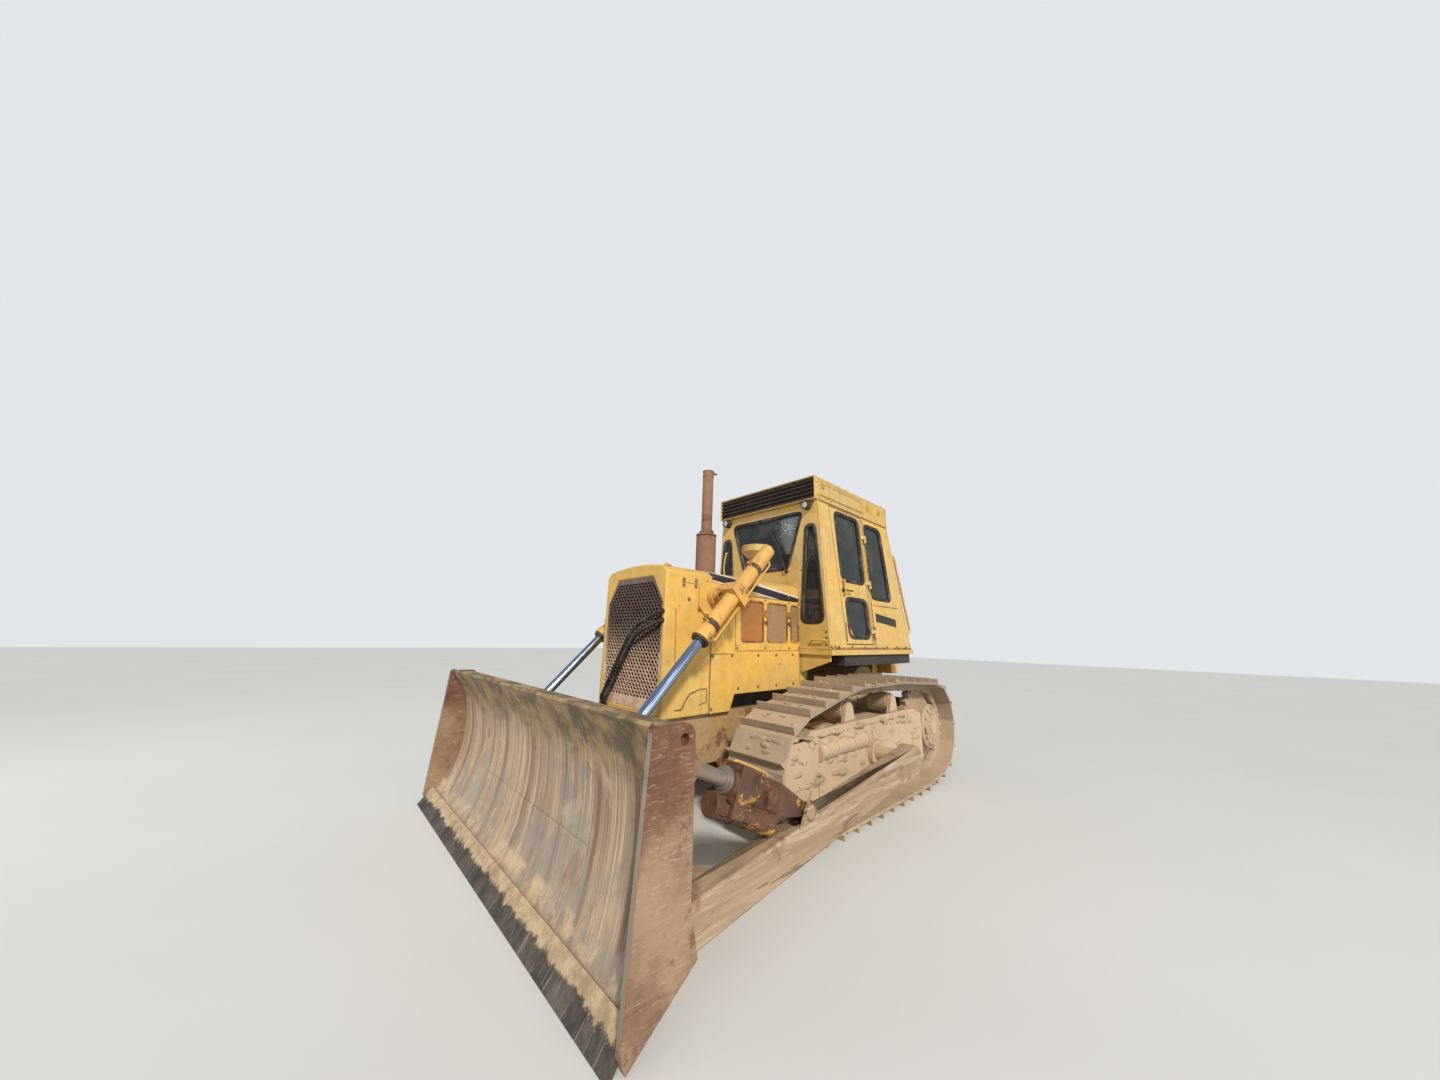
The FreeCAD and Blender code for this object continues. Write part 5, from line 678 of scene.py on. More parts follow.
def lamp(name, kind, at, to, power, size, colour=(1, 1, 1)):
    data = bpy.data.lights.new(name, kind)
    data.energy = power
    data.color = colour
    if kind == "AREA":
        data.shape = "DISK"
        data.size = size
    else:
        data.angle = size
    obj = bpy.data.objects.new(name, data)
    obj.location = at
    obj.rotation_mode = "QUATERNION"
    obj.rotation_quaternion = (Vector(to) - Vector(at)).to_track_quat("-Z", "Y")
    scene.collection.objects.link(obj)
    return obj


lamp("sun", "SUN", (7.3, -3.9, 7.0), (0, 0, 1.2), 3.1, 0.10, (1.0, 0.96, 0.88))
lamp("front_fill", "AREA", (-3.5, -8.5, 5.0), (0, -1.0, 1.2), 130, 5.0, (0.92, 0.96, 1.0))
lamp("side_fill", "AREA", (7.5, -1.0, 2.6), (0, 0, 1.2), 70, 4.0)

EYE = Vector((3.069, -3.395, 1.441))
YAW, PITCH, ROLL = math.radians(46.18), math.radians(12.895), math.radians(1.45)
ahead = Vector((-math.sin(YAW) * math.cos(PITCH), math.cos(YAW) * math.cos(PITCH), math.sin(PITCH)))
right0 = ahead.cross(Vector((0, 0, 1))).normalized()
up0 = right0.cross(ahead)
right = right0 * math.cos(ROLL) + up0 * math.sin(ROLL)
up = up0 * math.cos(ROLL) - right0 * math.sin(ROLL)
camera = bpy.data.objects.new("camera", bpy.data.cameras.new("camera"))
scene.collection.objects.link(camera)
camera.matrix_world = Matrix((
    (right.x, up.x, -ahead.x, EYE.x),
    (right.y, up.y, -ahead.y, EYE.y),
    (right.z, up.z, -ahead.z, EYE.z),
    (0, 0, 0, 1),
))
camera.data.sensor_width = 36.0
camera.data.lens = 424.95 * 36.0 / 1440
camera.data.clip_start = 0.02
camera.data.clip_end = 200
scene.camera = camera
scene.view_settings.view_transform = "Standard"


# Rounded copies of CAD nodes

BODY_OF = {node: body for body, group in frame["record"]["behaviour"]["bodies"].items() for node in group}


def softened(name, width, worn):
    """A node's form with small rounded edges, the paint worn off them. It stands for the node."""
    source = nodes[name]
    obj = bpy.data.objects.new(name + "_form", source.data.copy())
    scene.collection.objects.link(obj)
    mesh = obj.data
    if "custom_normal" in mesh.attributes:
        mesh.attributes.remove(mesh.attributes["custom_normal"])
    bm = bmesh.new()
    bm.from_mesh(mesh)
    bmesh.ops.remove_doubles(bm, verts=bm.verts, dist=1e-5)
    if name not in ("cab_sides", "cab_front", "cab_rear"):
        bmesh.ops.dissolve_limit(bm, angle_limit=math.radians(1), verts=bm.verts, edges=bm.edges)
    bm.to_mesh(mesh)
    bm.free()
    for face in mesh.polygons:
        face.use_smooth = True
        face.material_index = 0
    mesh.set_sharp_from_angle(angle=math.radians(30))
    mesh.materials.clear()
    mesh.materials.append(M[NODE_PAINT[name]])
    mesh.materials.append(M[worn])
    edge = obj.modifiers.new("edge", "BEVEL")
    edge.width = width
    edge.segments = 2
    edge.limit_method = "ANGLE"
    edge.angle_limit = math.radians(35)
    edge.use_clamp_overlap = False
    edge.material = 1
    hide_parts(name)
    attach(obj, BODY_OF[name])
    return obj


ROUNDED = {
    "radiator_guard": (0.012, "yellow"), "hood": (0.006, "hood"), "side_plates": (0.004, "yellow_edge"),
    "engine_panels": (0.003, "yellow_edge"), "cab_front": (0.004, "cab_edge"), "cab_sides": (0.002, "cab_edge"),
    "cab_rear": (0.004, "cab_edge"), "cab_roof": (0.010, "roof_yellow"), "door_left": (0.0025, "cab_edge"),
    "door_right": (0.0025, "cab_edge"), "push_arm_left": (0.012, "arm"), "push_arm_right": (0.012, "arm"),
    "fuel_tank": (0.010, "yellow_edge"), "main_frame": (0.006, "frame_edge"), "seat": (0.022, "vinyl"),
    "track_frame_left": (0.008, "frame_edge"), "track_frame_right": (0.008, "frame_edge"),
    "under_cab_boxes": (0.006, "dark"), "tilt_barrel": (0.005, "rusty"),
}
for name, (width, worn) in ROUNDED.items():
    softened(name, width, worn)


# Radiator grille of expanded metal

def grille():
    low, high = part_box("radiator_grille")
    half, shoulder, top, top_half, foot = 0.404, 1.700, 1.905, 0.262, 0.895
    front, rim, cell, row, bead = low[1] + 0.004, 0.020, 0.0440, 0.0265, 0.0052
    s = Soup()

    def reach(z):
        return half if z < shoulder else half + (top_half - half) * (z - shoulder) / (top - shoulder)

    z = foot + rim
    k = 0
    while z < top - rim:
        room = reach(z + row / 2) - rim / 2
        count = int(room / (cell / 2))
        line = []
        for i in range(-count, count + 1):
            rise = row / 2 * (1 if (i + k) % 2 else -1)
            line.append((i * cell / 2, z + rise))
        start = len(s.v)
        for x, zz in line:
            s.v += [Vector((x, front, zz + bead)), Vector((x, front + bead * 1.3, zz + bead * 0.7)),
                    Vector((x, front + bead * 1.3, zz - bead * 0.7)), Vector((x, front, zz - bead))]
        for i in range(len(line) - 1):
            for j in range(4):
                a, b = start + 4 * i + j, start + 4 * i + (j + 1) % 4
                s.f.append([a, b, b + 4, a + 4])
                s.smooth.append(False)
        z += row
        k += 1
    s.made("grille_mesh", "machine", "grille_rust", "mesh")
    r = Soup()
    corners = [(-half, foot), (half, foot), (half, shoulder), (top_half, top), (-top_half, top), (-half, shoulder)]
    for (x0, z0), (x1, z1) in zip(corners, corners[1:] + corners[:1]):
        way = Vector((x1 - x0, 0, z1 - z0)).normalized()
        inward = Vector((-way.z, 0, way.x)) * (rim / 2)
        a = Vector((x0, front + 0.004, z0)) + inward
        b = Vector((x1, front + 0.004, z1)) + inward
        r.bar(a, b, rim, 0.010, up=(0, 1, 0))
    r.block((-half, low[1] + 0.001, foot), (half, low[1] + 0.008, foot + 0.075))
    r.block((-top_half, low[1] + 0.001, top - 0.045), (top_half, low[1] + 0.008, top))
    frame_bars = r.made("grille_rim", "machine", "grille_rust", "mesh", 0.0015)
    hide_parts("radiator_grille")


grille()


# Windows

def rounded(corners, radius, steps=6):
    """A closed outline with its corners turned into arcs."""
    path = []
    count = len(corners)
    for i, b in enumerate(corners):
        a, c = Vector(corners[i - 1]), Vector(corners[(i + 1) % count])
        b = Vector(b)
        come, leave = (a - b), (c - b)
        back = min(radius, come.length * 0.48, leave.length * 0.48)
        p0, p2 = b + come.normalized() * back, b + leave.normalized() * back
        for k in range(steps + 1):
            t = k / steps
            path.append(p0 * (1 - t) ** 2 + b * (2 * t * (1 - t)) + p2 * t ** 2)
    return path


def swept_ring(soup, outline, profile, to_world):
    """Carries a closed profile (inward, out of the wall) round a closed outline (a, b)."""
    count, sides = len(outline), len(profile)
    area = sum(outline[i - 1].x * outline[i].y - outline[i].x * outline[i - 1].y for i in range(count))
    turn = 1 if area > 0 else -1
    start = len(soup.v)
    for i, point in enumerate(outline):
        way = (outline[(i + 1) % count] - outline[i - 1]).normalized()
        inward = Vector((-way.y, way.x)) * turn
        for side, high in profile:
            at = point + inward * side
            soup.v.append(to_world(at.x, at.y, high))
    for i in range(count):
        j = (i + 1) % count
        for k in range(sides):
            m = (k + 1) % sides
            soup.f.append([start + i * sides + k, start + i * sides + m, start + j * sides + m, start + j * sides + k])
            soup.smooth.append(True)


CAB_LEAN = 0.06527
REAR_LEAN = 0.17102


def on_left_wall(y, z, out):
    return Vector((0.800 - CAB_LEAN * (z - 1.350) + out, y, z + CAB_LEAN * out))


def on_right_wall(y, z, out):
    p = on_left_wall(y, z, out)
    return Vector((-p.x, p.y, p.z))


def on_front_wall(x, z, out):
    return Vector((x, 0.275 - out, z))


def on_rear_wall(x, z, out):
    return Vector((x, 2.150 - REAR_LEAN * (z - 1.350) + out, z + REAR_LEAN * out))


RUBBER = [(-0.016, 0.0005), (-0.015, 0.006), (-0.007, 0.010), (0.008, 0.009), (0.022, 0.004), (0.028, -0.004),
          (0.028, -0.0135), (0.002, -0.0135), (-0.002, -0.002)]
DOOR_HIGH = [(0.620, 2.060), (1.105, 2.060), (1.105, 2.820), (0.590, 2.820)]
DOOR_LOW = [(0.668, 1.470), (1.105, 1.470), (1.105, 1.880), (0.655, 1.880)]
SIDE_PANE = [(1.250, 1.915), (1.730, 1.915), (1.650, 2.800), (1.250, 2.800)]
QUARTER_PANE = [(0.480, 1.610), (0.742, 1.610), (0.664, 2.620), (0.552, 2.620)]
WINDSHIELD = [(-0.315, 2.180), (0.315, 2.180), (0.508, 2.780), (-0.508, 2.780)]
REAR_PANE = [(-0.500, 1.950), (0.500, 1.950), (0.500, 2.780), (-0.500, 2.780)]


def gaskets():
    for side, wall, name in ((1, on_left_wall, "left"), (-1, on_right_wall, "right")):
        door = Soup()
        for pane in (DOOR_HIGH, DOOR_LOW):
            swept_ring(door, rounded(pane, 0.085), RUBBER, wall)
        door.made("door_gaskets_" + name, "door_" + name, "hose", "gasket")
        fixed = Soup()
        swept_ring(fixed, rounded(SIDE_PANE, 0.085), RUBBER, wall)
        quarter = [(side * x, z) for x, z in QUARTER_PANE]
        swept_ring(fixed, rounded(quarter, 0.080), RUBBER, on_front_wall)
        fixed.made("side_gaskets_" + name, "machine", "hose", "gasket")
    ends = Soup()
    swept_ring(ends, rounded(WINDSHIELD, 0.075), RUBBER, on_front_wall)
    swept_ring(ends, rounded(REAR_PANE, 0.085), RUBBER, on_rear_wall)
    ends.made("end_gaskets", "machine", "hose", "gasket")


gaskets()


def cracked_glass():
    """A star of cracks in the windshield's upper corner on the left."""
    s = Soup()
    centre = (0.330, 2.640)
    depth = -0.0128
    rays = 19
    ends = []
    for i in range(rays):
        angle = 2 * math.pi * (i + rng.uniform(-0.3, 0.3)) / rays
        length = rng.uniform(0.07, 0.20)
        previous = Vector(centre)
        line = [previous]
        for step in range(4):
            angle += rng.uniform(-0.16, 0.16)
            previous = previous + Vector((math.cos(angle), math.sin(angle))) * (length / 4)
            line.append(previous)
        line = [p for p in line if p.y < 2.765 and p.x < 0.315 + (p.y - 2.18) * 0.32 - 0.03]
        ends.append(line)
        for a, b in zip(line, line[1:]):
            s.bar(on_front_wall(a.x, a.y, depth), on_front_wall(b.x, b.y, depth), 0.0018, 0.0008, up=(0, 1, 0))
    for step in (1, 2, 3):
        for line, other in zip(ends, ends[1:] + ends[:1]):
            if step < len(line) and step < len(other) and (line[step] - other[step]).length < 0.07:
                a, b = line[step], other[step]
                s.bar(on_front_wall(a.x, a.y, depth), on_front_wall(b.x, b.y, depth), 0.0014, 0.0008, up=(0, 1, 0))
    s.made("windshield_crack", "machine", "glass", "crack")


cracked_glass()


# Bolts

def bolt(soup, at, axis, radius=0.011, high=0.008):
    """A hexagon head on its washer."""
    at, axis = Vector(at), Vector(axis).normalized()
    soup.disc(at - axis * 0.002, axis, radius * 1.5, 0.0045, 14)
    soup.disc(at, axis, radius, high, 6, rng.uniform(0, 1), top=radius * 0.93)


def side_bolts(name, body, slot_name, mat, x, places, radius=0.011, high=0.008, both=True):
    s = Soup()
    for y, z in places:
        bolt(s, (x, y, z), (1, 0, 0), radius, high)
    if both:
        s.mirror()
    return s.made(name, body, slot_name, mat)


GUARD_X = 0.446
side_bolts("guard_bolts", "machine", "pin_steel", "bolt", GUARD_X, [
    (y, z) for y in (-1.262, -1.135, -1.008) for z in (1.885, 1.842)] + [(-1.203, 1.732), (-1.093, 1.653)], 0.012, 0.009)
side_bolts("panel_bolts", "machine", "pin_steel", "bolt", GUARD_X, [
    (y, z) for y in (-0.640, -0.262, 0.104, 0.262) for z in (1.352, 1.792)] + [
    (-0.262, 1.590), (0.104, 1.590)], 0.008, 0.006)
side_bolts("plate_bolts", "machine", "pin_steel", "bolt", GUARD_X, [
    (-0.930, 1.290), (-0.930, 0.880), (-0.700, 1.290), (-0.620, 1.020), (-0.360, 1.020), (-0.100, 1.020),
    (0.160, 1.020), (-0.360, 1.290), (-0.100, 1.290), (0.160, 1.290)], 0.010, 0.008)


def foot_plates():
    """Bolt heads on the plates where the cab's front posts stand, and along its skirt."""
    s = Soup()
    for y in (0.300, 0.370, 0.440, 0.700, 0.960, 1.220, 1.480, 1.740, 2.000):
        at = on_left_wall(y, 1.378, 0.0)
        bolt(s, at, (1, 0, CAB_LEAN), 0.010, 0.008)
    for z in (1.400, 1.460, 1.520):
        bolt(s, on_front_wall(0.765, z, 0.0), (0, -1, 0), 0.009, 0.007)
    s.mirror()
    s.made("cab_bolts", "machine", "pin_steel", "bolt")


foot_plates()


# Track shoes: bolts and clods

def shoes(side):
    """The outer face of each shoe plate: its middle, the way out and the way along the track."""
    data = nodes["track_" + side].data
    bm = bmesh.new()
    bm.from_mesh(data)
    bmesh.ops.remove_doubles(bm, verts=bm.verts, dist=1e-5)
    bmesh.ops.dissolve_limit(bm, angle_limit=math.radians(1), verts=bm.verts, edges=bm.edges)
    middle = Vector((0, 0.60, 0.50))
    found = []
    for face in bm.faces:
        centre = face.calc_center_bounds()
        out = face.normal.copy()
        if 0.03 < face.calc_area() < 0.12 and abs(out.x) < 0.05:
            xs = [v.co.x for v in face.verts]
            wide = max(xs) - min(xs)
            away = Vector((0, centre.y - middle.y, centre.z - middle.z))
            if wide > 0.45 and out.dot(away) > 0:
                found.append((centre, out, Vector((1, 0, 0)).cross(out).normalized(), face.calc_area() / wide))
    bm.free()
    return found


def shoe_bolts(side):
    s = Soup()
    for centre, out, along, length in shoes(side):
        for dx in (-0.075, 0.075):
            for da in (-0.26, 0.26):
                at = centre + Vector((dx, 0, 0)) + along * (da * length)
                s.disc(at, out, 0.017, 0.013, 6, 0.3, top=0.0155)
    if s.v:
        s.made("shoe_bolts_" + side, "machine", "track_steel", "track")


def clod(soup, centre, out, u, wide, w, deep, high, rings=5, sides=16):
    """A lump of dried clay on a face: a rough disc that rises in the middle and sinks below the face at its rim."""
    start = len(soup.v)
    seed = Vector((rng.uniform(-9, 9), rng.uniform(-9, 9), rng.uniform(-9, 9)))
    soup.v.append(centre + out * high)
    for ring in range(1, rings + 1):
        r = ring / rings
        for k in range(sides):
            angle = 2 * math.pi * k / sides
            a, b = math.cos(angle), math.sin(angle)
            rim = 1 + 0.45 * noise.noise(seed + Vector((a * 1.3, b * 1.3, 5)))
            bumps = noise.noise(seed + Vector((a * r * 2.6, b * r * 2.6, 0)))
            lift = high * ((1 - r * r) * (1 + 0.9 * bumps) - 0.25 * r)
            soup.v.append(centre + u * (wide / 2 * a * r * rim) + w * (deep / 2 * b * r * rim) + out * lift)
    for k in range(sides):
        soup.f.append([start, start + 1 + k, start + 1 + (k + 1) % sides])
        soup.smooth.append(True)
    for ring in range(rings - 1):
        low = start + 1 + ring * sides
        for k in range(sides):
            m = (k + 1) % sides
            soup.f.append([low + k, low + sides + k, low + sides + m, low + m])
            soup.smooth.append(True)
    under = len(soup.v)
    soup.v.append(centre - out * (high * 0.6))
    last = start + 1 + (rings - 1) * sides
    for k in range(sides):
        soup.f.append([last + (k + 1) % sides, last + k, under])
        soup.smooth.append(True)


def shoe_clods(side):
    s = Soup()
    for centre, out, along, length in shoes(side):
        if out.z < -0.4:
            continue
        for lump in range(rng.choice((4, 5, 6))):
            shift = Vector((rng.uniform(-0.20, 0.20), 0, 0)) + along * (rng.uniform(-0.28, 0.28) * length)
            clod(s, centre + shift, out, Vector((1, 0, 0)), rng.uniform(0.05, 0.20), along,
                 length * rng.uniform(0.18, 0.42), rng.uniform(0.006, 0.020))
    s.made("shoe_clay_" + side, "machine", "track_steel", "mud")


for side in ("left", "right"):
    shoe_bolts(side)
    shoe_clods(side)


# Roof and cab fittings

def roof_fittings():
    s = Soup()
    side_x = 0.719
    ring = [(0.320, 2.945), (1.180, 2.945), (1.180, 3.075), (0.320, 3.075)]
    for (y0, z0), (y1, z1) in zip(ring, ring[1:] + ring[:1]):
        s.bar((side_x + 0.001, y0, z0), (side_x + 0.001, y1, z1), 0.014, 0.010, up=(1, 0, 0))
    for y in (0.345, 0.600, 0.860, 1.150):
        for z in (2.955, 3.065):
            bolt(s, (side_x, y, z), (1, 0, 0), 0.007, 0.005)
    for step in range(4):
        z = 2.995 + 0.022 * step
        s.bar((0.7095, 1.330, z), (0.7095, 1.420, z), 0.006, 0.008, up=(1, 0, 0))
    s.bar((0.712, 0.300, 2.889), (0.712, 1.860, 2.885), 0.016, 0.014, up=(1, 0, 0))
    s.bar((0.712, 0.300, 2.896), (0.712, 0.300, 3.120), 0.012, 0.012, up=(1, 0, 0))
    for y in (0.360, 1.640):
        s.block((0.700, y - 0.022, 3.020), (0.735, y + 0.022, 3.075))
        s.disc((0.735, y, 3.048), (1, 0, 0), 0.013, 0.010, 8)
    s.mirror()
    s.bar((-0.690, 1.889, 2.905), (0.690, 1.889, 2.905), 0.014, 0.012, up=(0, 1, 0))
    s.made("roof_fittings", "machine", "yellow_paint", "roof_yellow", 0.0015)


roof_fittings()


def lamp_faces():
    lens_rim, dish = Soup(), Soup()
    for side in (-1, 1):
        at = Vector((side * 0.590, 0.205, 2.825))
        outer = [(0.0455, 0.004), (0.0455, -0.006), (0.036, -0.006), (0.036, 0.004)]
        count = 24
        start = len(lens_rim.v)
        for i in range(count):
            angle = 2 * math.pi * i / count
            for r, d in outer:
                lens_rim.v.append(at + Vector((r * math.cos(angle), d, r * math.sin(angle))))
        for i in range(count):
            j = (i + 1) % count
            for k in range(4):
                m = (k + 1) % 4
                lens_rim.f.append([start + 4 * i + k, start + 4 * i + m, start + 4 * j + m, start + 4 * j + k])
                lens_rim.smooth.append(False)
        start = len(dish.v)
        rings = ((0.037, -0.001), (0.028, -0.0045), (0.015, -0.0065))
        for r, d in rings:
            for i in range(count):
                angle = 2 * math.pi * i / count
                dish.v.append(at + Vector((r * math.cos(angle), d, r * math.sin(angle))))
        dish.v.append(at + Vector((0, -0.007, 0)))
        for ring in range(len(rings) - 1):
            for i in range(count):
                a, b = start + ring * count + i, start + ring * count + (i + 1) % count
                dish.f.append([a, b, b + count, a + count])
                dish.smooth.append(True)
        last = start + (len(rings) - 1) * count
        for i in range(count):
            dish.f.append([last + i, last + (i + 1) % count, last + count])
            dish.smooth.append(True)
    lens_rim.made("lamp_rims", "machine", "lamp_shell", "black")
    dish.made("lamp_lenses", "machine", "lamp_shell", "lens")


lamp_faces()


def door_fittings(name, wall, side):
    s = Soup()
    grip = [wall(0.628, 1.950, 0.0), wall(0.628, 1.950, 0.034), wall(0.690, 1.950, 0.040), wall(0.760, 1.952, 0.040)]
    s.pipe(grip, 0.0085, 10, 0.02)
    s.disc(wall(0.628, 1.950, 0.0), (side, 0, CAB_LEAN), 0.026, 0.008, 20)
    s.disc(wall(0.628, 1.905, 0.0), (side, 0, CAB_LEAN), 0.013, 0.006, 16)
    s.made("door_handle_" + name, "door_" + name, "dark_parts", "black", 0.001)
    trim = Soup()
    for y, low, high in ((1.148, 1.430, 2.840), (0.612, 1.430, 1.620)):
        trim.bar(wall(y, low, 0.001), wall(y, high, 0.001), 0.010, 0.006, up=(side, 0, 0))
    trim.made("door_trim_" + name, "door_" + name, "yellow_paint", "cab_edge", 0.001)


door_fittings("left", on_left_wall, 1)
door_fittings("right", on_right_wall, -1)


def cab_fittings():
    s = Soup()
    for side, wall in ((1, on_left_wall), (-1, on_right_wall)):
        s.bar(wall(1.215, 1.400, 0.001), wall(1.215, 2.850, 0.001), 0.014, 0.008, up=(side, 0, 0))
        s.bar(wall(0.300, 1.362, 0.002), wall(2.130, 1.362, 0.002), 0.022, 0.010, up=(side, 0, 0))
        s.bar(wall(1.250, 1.840, 0.001), wall(1.900, 1.840, 0.001), 0.010, 0.005, up=(side, 0, 0))
        for z in (1.560, 2.080, 2.560):
            s.block(wall(1.200, z - 0.035, 0.0) if side > 0 else wall(1.200, z - 0.035, 0.016),
                    wall(1.232, z + 0.035, 0.016) if side > 0 else wall(1.232, z + 0.035, 0.0))
    s.bar(on_front_wall(-0.690, 2.150, 0.001), on_front_wall(-0.470, 2.150, 0.001), 0.010, 0.005, up=(0, 1, 0))
    s.bar(on_front_wall(0.470, 2.150, 0.001), on_front_wall(0.530, 2.150, 0.001), 0.010, 0.005, up=(0, 1, 0))
    s.made("cab_trim", "machine", "yellow_paint", "cab_edge", 0.0012)
    b = Soup()
    b.pipe([on_front_wall(0.300, 2.150, 0.006), on_front_wall(0.300, 2.150, 0.030), on_front_wall(0.210, 2.420, 0.022),
            on_front_wall(0.140, 2.520, 0.018)], 0.005, 8, 0.02)
    b.bar(on_front_wall(0.230, 2.300, 0.012), on_front_wall(0.060, 2.680, 0.010), 0.012, 0.006, up=(0, 1, 0))
    b.disc(on_front_wall(0.300, 2.150, 0.0), (0, -1, 0), 0.020, 0.016, 16)
    b.pipe([on_front_wall(0.605, 2.300, 0.0), on_front_wall(0.610, 2.290, 0.018), on_front_wall(0.560, 2.150, 0.022),
            on_front_wall(0.520, 1.980, 0.016), on_front_wall(0.490, 1.820, 0.0)], 0.006, 8, 0.06)
    for side in (-1, 1):
        b.pipe([(side * 0.590, 0.270, 2.870), (side * 0.600, 0.255, 2.885), (side * 0.640, 0.262, 2.880),
                (side * 0.655, 0.272, 2.850)], 0.0045, 8, 0.012)
    b.made("wiper_and_cables", "machine", "dark_parts", "black", 0.0006)
    c = Soup()
    c.pipe([on_front_wall(-0.610, 2.060, 0.0), on_front_wall(-0.610, 2.060, 0.028), on_front_wall(-0.640, 2.280, 0.036),
            on_front_wall(-0.610, 2.460, 0.028), on_front_wall(-0.610, 2.460, 0.0)], 0.0095, 10, 0.04)
    c.pipe([on_front_wall(0.610, 1.440, 0.0), on_front_wall(0.610, 1.440, 0.032), on_front_wall(0.760, 1.440, 0.032),
            on_front_wall(0.760, 1.440, 0.0)], 0.009, 10, 0.03)
    c.made("grab_loops", "machine", "yellow_paint", "cab_yellow")
    band = Soup()
    for wall in (on_left_wall, on_right_wall):
        corners = [(1.290, 1.655), (1.790, 1.610), (1.800, 1.700), (1.290, 1.752)]
        under = [wall(y, z, 0.0) for y, z in corners]
        over = [wall(y, z, 0.0012) for y, z in corners]
        band.take(under + over, [(3, 2, 1, 0), (4, 5, 6, 7), (0, 1, 5, 4), (1, 2, 6, 5), (2, 3, 7, 6), (3, 0, 4, 7)])
    band.made("side_band", "machine", "dark_parts", "black")


cab_fittings()


def handrails():
    s = Soup()
    for side in (-1, 1):
        x = side * 0.705
        s.pipe([(x, 1.9563, 2.500), (x, 2.040, 2.500), (x, 2.385, 1.560), (x, 2.1171, 1.560)], 0.0158, 14, 0.07, 7)
        for y, z in ((1.962, 2.500), (2.122, 1.560)):
            s.disc((x, y, z), (0, 1, 0), 0.034, 0.010, 20)
    rails = s.made("rails_round", "machine", "yellow_paint", "cab_yellow")
    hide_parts("handrails")


handrails()


# Grille hoses

def grille_hoses():
    s = Soup()
    for stand, top, turn, lower, end in ((0.040, (0.425, 1.625), (0.070, 1.500), (-0.330, 0.930), (-0.362, 0.872)),
                                         (0.034, (0.425, 1.557), (0.090, 1.440), (-0.290, 0.905), (-0.312, 0.868))):
        y = -1.433 - stand
        path = [(top[0], -1.4333, top[1]), (top[0] - 0.030, y, top[1] - 0.010), (turn[0], y, turn[1]),
                (lower[0], y, lower[1]), (end[0], -1.4333, end[1])]
        s.pipe(path, 0.0148, 12, 0.26, 9)
        s.disc((end[0], -1.4335, end[1]), (0, -1, 0), 0.021, 0.014, 6)
        s.disc((top[0], -1.4335, top[1]), (0, -1, 0), 0.021, 0.014, 6)
    hoses = s.made("hoses_round", "machine", "hose", "hose")
    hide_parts("grille_hoses")


grille_hoses()


# Bodywork seams, latches and edges

def bodywork():
    s = Soup()
    x = GUARD_X + 0.0004
    plate = [(-1.290, 1.868), (-0.975, 1.868), (-0.975, 1.905), (-1.290, 1.905)]
    for (y0, z0), (y1, z1) in (((-1.290, 1.862), (-0.972, 1.862)), ((-1.331, 1.653), (-1.318, 1.215)),
                               ((-0.663, 1.330), (0.273, 1.330)), ((-0.948, 1.305), (-0.663, 1.305)),
                               ((-0.950, 0.985), (-0.950, 1.305))):
        s.bar((x, y0, z0), (x, y1, z1), 0.006, 0.004, up=(1, 0, 0))
    cover = [(-1.300, 0.905), (-1.235, 0.905), (-1.205, 0.960), (-1.160, 1.010), (-1.060, 1.040), (-0.985, 1.040),
             (-0.985, 0.940), (-1.060, 0.925)]
    for a, b in zip(cover, cover[1:]):
        s.bar((x, a[0], a[1]), (x, b[0], b[1]), 0.009, 0.008, up=(1, 0, 0))
    for low_y, high_y in ((-0.588, -0.293), (-0.229, 0.071), (0.135, 0.255)):
        frame_ring = rounded([(low_y, 1.411), (high_y, 1.411), (high_y, 1.771), (low_y, 1.771)], 0.030, 4)
        swept_ring(s, frame_ring, [(-0.010, 0.0), (-0.008, 0.006), (0.004, 0.006), (0.006, 0.0), (0.006, -0.005)],
                   lambda y, z, out: Vector((GUARD_X + out, y, z)))
    for y in (-0.262, 0.104):
        s.block((GUARD_X, y - 0.014, 1.640), (GUARD_X + 0.016, y + 0.014, 1.700))
        s.disc((GUARD_X + 0.010, y, 1.585), (1, 0, 0), 0.017, 0.010, 16)
    s.mirror()
    s.made("seams", "machine", "yellow_paint", "yellow_edge", 0.0012)
    hook = Soup()
    for y, z in ((-0.030, 0.030), (0.034, 0.022), (0.004, -0.046)):
        hook.bar((x, -0.993, 1.779), (x, -0.993 + y, 1.779 + z), 0.016, 0.010, up=(1, 0, 0))
    hook.disc((x - 0.003, -0.993, 1.779), (1, 0, 0), 0.015, 0.012, 10)
    hook.mirror()
    hook.made("guard_hooks", "machine", "pin_steel", "exhaust", 0.0012)


bodywork()


def along(start, way, far):
    return Vector(start) + Vector(way).normalized() * far


# Lift cylinders

LIFT_WAY = (0, -0.7013, -0.7129)


